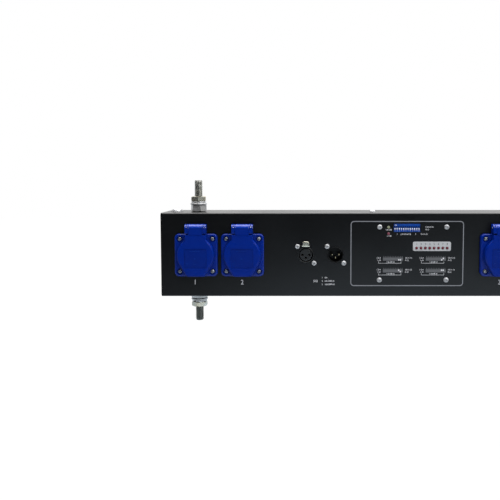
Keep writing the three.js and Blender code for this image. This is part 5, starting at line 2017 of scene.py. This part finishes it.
@dataclass
class StandBracket(Assembly):
    """The stand bracket: a bent strap, the spigot sleeve, four bolts and their nuts."""

    sleeve_radius: float = 0.025
    bore_radius: float = 0.014
    crown: float = 0.02
    sleeve_edges: Sizes = (0, 0.001, 0.0012, 0.0015, 0.0015, 0.0015, 0.002, 0)
    rim: float = 0.003
    rim_height: float = 0.008
    strap_width: float = 0.04
    strap_thickness: float = 0.006
    strap_edge: float = 0.0009
    foot_span: float = 0.176
    foot_length: float = 0.034
    bend: float = 0.009
    bolt_radius: float = 0.004
    bolt_across: float = 0.013
    bolt_head: float = 0.0055
    bolt_pitch: float = 0.02
    thread_depth: float = 0.0006
    thread_pitch: float = 0.00125
    thread_chamfer: float = 0.0008
    washer: Sizes = (0.008, 0.0042, 0.0012)                # radius, bore and height
    nut_bore: float = 0.0041
    nut_height: float = 0.0065
    bead: float = 0.0022
    bead_in: float = 0.0004
    ripples: int = 60
    ripple_share: float = 0.12

    def bolt_places(self) -> list[Point]:
        """Middles of the four bolts, in X and Y."""
        x = (self.foot_span - self.foot_length) / 2
        return [(side * x, across * self.bolt_pitch / 2) for side in BOTH for across in BOTH]

    def strap(self) -> Shape:
        """The strap: a flat section carried down one leg, across the crown and up the other."""
        half, thick = self.foot_span / 2, self.strap_thickness
        top = self.layout.bottom - self.fit_gap - thick / 2
        knee = half - self.foot_length + thick / 2
        side, crown = self.sleeve_radius - thick / 2, self.crown - thick / 2
        corners = [(-half, top), (-knee, top), (-side, crown), (side, crown), (knee, top), (half, top)]
        line = filleted(corners, self.bend, 8, closed=False)
        path = np.stack([line[:, 0], 0 * line[:, 0], line[:, 1]], axis=1)
        return swept(rectangle(thick, self.strap_width, self.strap_edge), path, (0, 1, 0))

    def sleeve(self) -> Shape:
        """The sleeve: a turned tube with a blind bore and a rim round its mouth."""
        depth = -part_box("stand_bracket")[0].z
        outer, bore, rim = self.sleeve_radius, self.bore_radius, self.sleeve_radius + self.rim
        corners = [
            (0, 0), (bore, 0), (bore, -depth), (rim, -depth), (rim, self.rim_height - depth),
            (outer, self.rim_height - depth), (outer, self.crown), (0, self.crown),
        ]
        return lathed(corners, self.sleeve_edges, 4, 64)

    def weld(self) -> Shape:
        """A rippled weld round the crown, where the sleeve meets the strap.

        The bead's middle runs round the sleeve, and its radius is r (1 + 0.12 sin(n a)).
        """
        angle, about = one_turn(220)[:, None], one_turn(10)
        swell = self.bead * (1 + self.ripple_share * np.sin(self.ripples * angle))
        out = self.sleeve_radius - self.bead_in + swell * np.cos(about)
        z = self.crown - self.strap_thickness + swell * np.sin(about)
        points = round_about(out, angle, z)
        return Shape().grid(np.concatenate([points, points[:1]]), closed=True)

    def bolts(self) -> Shape:
        """Four bolts from below, each with a washer, and a nut inside the bar."""
        under = self.layout.bottom - self.fit_gap - self.strap_thickness
        floor = self.layout.bottom + self.sheet + self.fit_gap
        gap = self.washer[2]
        head = hexagon(self.bolt_across, 0, self.bolt_head - gap).facing(Facing.DOWN)
        ring = washer(*self.washer).moved(z=-gap)
        nut = hexagon(self.bolt_across, self.nut_bore, self.nut_height)
        length = floor + 2 * self.nut_height - self.fit_gap - under
        shank = threaded_rod(
            self.bolt_radius, self.thread_depth, self.thread_pitch, length, self.thread_chamfer)
        one = head.moved(z=under - gap).joined(ring.moved(z=under), nut.moved(z=floor), shank.moved(z=under))
        return one.repeated([(x, y, 0) for x, y in self.bolt_places()])

    def build(self) -> None:
        """Make the bracket's pieces and dress them."""
        make = self.maker.piece
        body = self.strap().joined(self.sleeve(), self.weld())
        make("stand_bracket_frame", body, Finish.BRACKET_PAINT, Slot.HOUSING, stands_for=["stand_bracket"])
        make("stand_bracket_bolts", self.bolts(), Finish.ZINC, Slot.ZINC)


@dataclass(frozen=True)
class SoftLamp:
    """A soft square lamp: where it hangs and looks, its side, its power in watts and its colour."""

    name: str
    place: Place
    target: Place
    side: float
    power: float
    colour: Colour = WHITE

    def hang(self) -> None:
        """Hang the lamp and aim it."""
        data = bpy.data.lights.new(self.name, "AREA")
        data.size, data.energy, data.color = self.side, self.power, self.colour
        lamp = bpy.data.objects.new(self.name, data)
        lamp.location = self.place
        x, y, z = np.asarray(self.target) - np.asarray(self.place)
        lamp.rotation_euler = (pi / 2 + float(np.arctan2(z, np.hypot(x, y))), 0, float(np.arctan2(-x, y)))
        bpy.context.scene.collection.objects.link(lamp)


@dataclass
class Studio:
    """Camera, floor, world and lamps."""

    layout: Layout
    lens: float = 42.57
    sensor: float = 36.0
    right_of_end: float = 0.16
    above_bottom: float = 0.13875
    before_front: float = 0.68756
    pitch: float = 0.0606
    shift: Point = (-0.0954, -0.0723)
    floor_half: float = 4.0
    floor_front: float = 1.05
    floor_colour: Colour = (0.42, 0.42, 0.42)
    floor_shown: float = 0.95
    floor_white: float = 1.05
    mirror_left: float = 0.05
    mirror_right: float = 3.5
    mirror_near: float = 1.1
    mirror_tint: Colour = (0.76, 0.89, 1.0)
    mirrored_dark: float = 0.01
    mirrored_behind: float = 0.22
    lamps: tuple[SoftLamp, ...] = (
        SoftLamp("overhead", (-0.2, 0.35, 1.7), (-0.2, 0.35, 0), 3.0, 130),
        SoftLamp("right_fill", (1.2, -1.9, 1.5), (-0.5, 0, 0.1), 1.2, 34, (0.94, 0.97, 1.0)),
    )

    def camera(self) -> None:
        """Stand the camera where the photograph was taken from."""
        place = self.layout
        data = bpy.data.cameras.new("camera")
        data.sensor_width, data.lens = self.sensor, self.lens
        data.shift_x, data.shift_y = self.shift
        camera = bpy.data.objects.new("camera", data)
        camera.location = (place.left + self.right_of_end, place.front - self.before_front,
                           place.bottom + self.above_bottom)
        camera.rotation_euler = (pi / 2 - self.pitch, 0, 0)
        bpy.context.scene.collection.objects.link(camera)
        bpy.context.scene.camera = camera

    def floor(self) -> None:
        """A plain pale floor under the sleeve, which shows white and is mirrored brighter near the bar."""
        low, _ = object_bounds()
        half, front = self.floor_half, self.floor_front
        corners = [(-half, -front, low.z), (half, -front, low.z), (half, half, low.z), (-half, half, low.z)]
        mesh = bpy.data.meshes.new("floor")
        mesh.from_pydata(corners, [], [(0, 1, 2, 3)])
        material = bpy.data.materials.new("pale_floor")
        graph = Graph(material)
        path = graph.node("ShaderNodeLightPath").outputs
        camera, glossy = path["Is Camera Ray"], path["Is Glossy Ray"]
        split = graph.node("ShaderNodeSeparateXYZ", {0: graph.place}).outputs
        right = graph.spread(split["X"], self.mirror_left, self.mirror_right, start=-0.95, stop=-0.5)
        near = graph.spread(split["Y"], 0, 1, start=-0.85, stop=-0.45)
        lift = graph.maths("MULTIPLY", near, graph.maths("SUBTRACT", self.mirror_near, right))
        strength = graph.blend(camera, graph.maths("ADD", lift, right), self.floor_white)
        seen = graph.maths("MULTIPLY", graph.maths("MAXIMUM", camera, glossy), self.floor_shown)
        tint = graph.mixed(camera, self.mirror_tint, WHITE)
        matt = graph.node("ShaderNodeBsdfDiffuse", {"Color": (*self.floor_colour, 1.0)}).outputs[0]
        white = graph.node("ShaderNodeEmission", {"Color": tint, "Strength": strength}).outputs[0]
        mix = graph.node("ShaderNodeMixShader", {0: seen, 1: matt, 2: white})
        graph.node("ShaderNodeOutputMaterial", {"Surface": mix.outputs[0]})
        mesh.materials.append(material)
        floor = bpy.data.objects.new("floor", mesh)
        bpy.context.scene.collection.objects.link(floor)
        floor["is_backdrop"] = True

    def world(self) -> None:
        """Even light all round; seen directly it is white, and mirrored it is dark before the bar."""
        world = bpy.data.worlds.new("studio")
        graph = Graph(world, "Generated")
        split = graph.node("ShaderNodeSeparateXYZ", {0: graph.place}).outputs
        behind = graph.spread(split["Y"], self.mirrored_dark, 1.0, start=-0.2, stop=0.2)
        path = graph.node("ShaderNodeLightPath").outputs
        glossy = graph.blend(path["Is Glossy Ray"], self.mirrored_behind, behind)
        direct = graph.maths("MAXIMUM", path["Is Camera Ray"], path["Is Transmission Ray"])
        strength = graph.blend(direct, glossy, 1.0)
        shade = graph.node("ShaderNodeBackground", {"Color": (*WHITE, 1.0), "Strength": strength})
        graph.node("ShaderNodeOutputWorld", {"Surface": shade.outputs[0]})
        bpy.context.scene.world = world

    def build(self) -> None:
        """Set up the whole studio."""
        self.camera()
        self.floor()
        self.world()
        for lamp in self.lamps:
            lamp.hang()
        bpy.context.scene.view_settings.view_transform = "Standard"


def main() -> None:
    """Load the frame and build every assembly in order."""
    logging.basicConfig(level=logging.INFO, format="%(message)s")
    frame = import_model()
    layout = Layout()
    Studio(layout).build()
    maker = Maker()
    Housing(layout, maker).build()
    for way in range(1, len(layout.outlets) + 1):
        Outlet(layout, maker, way).build()
    for place in range(1, len(layout.studs) + 1):
        for above in (True, False):
            LampStud(layout, maker, place, above).build()
    for outlet in (True, False):
        SignalSocket(layout, maker, outlet).build()
    Latch(layout, maker).build()
    ControlPanel(layout, maker).build()
    MainsInlet(layout, maker).build()
    for side in ENDS:
        FuseStrip(layout, maker, side).build()
        maker.dress(frame["nodes"][f"dimmer_board_{side}"], Finish.BOARD)
        maker.dress(frame["nodes"][f"heat_sink_{side}"], Finish.ALUMINIUM)
    maker.dress(frame["nodes"]["control_board"], Finish.BOARD)
    StandBracket(layout, maker).build()
    LOG.info("%d pieces in all", maker.made)


if __name__ == "__main__":
    main()
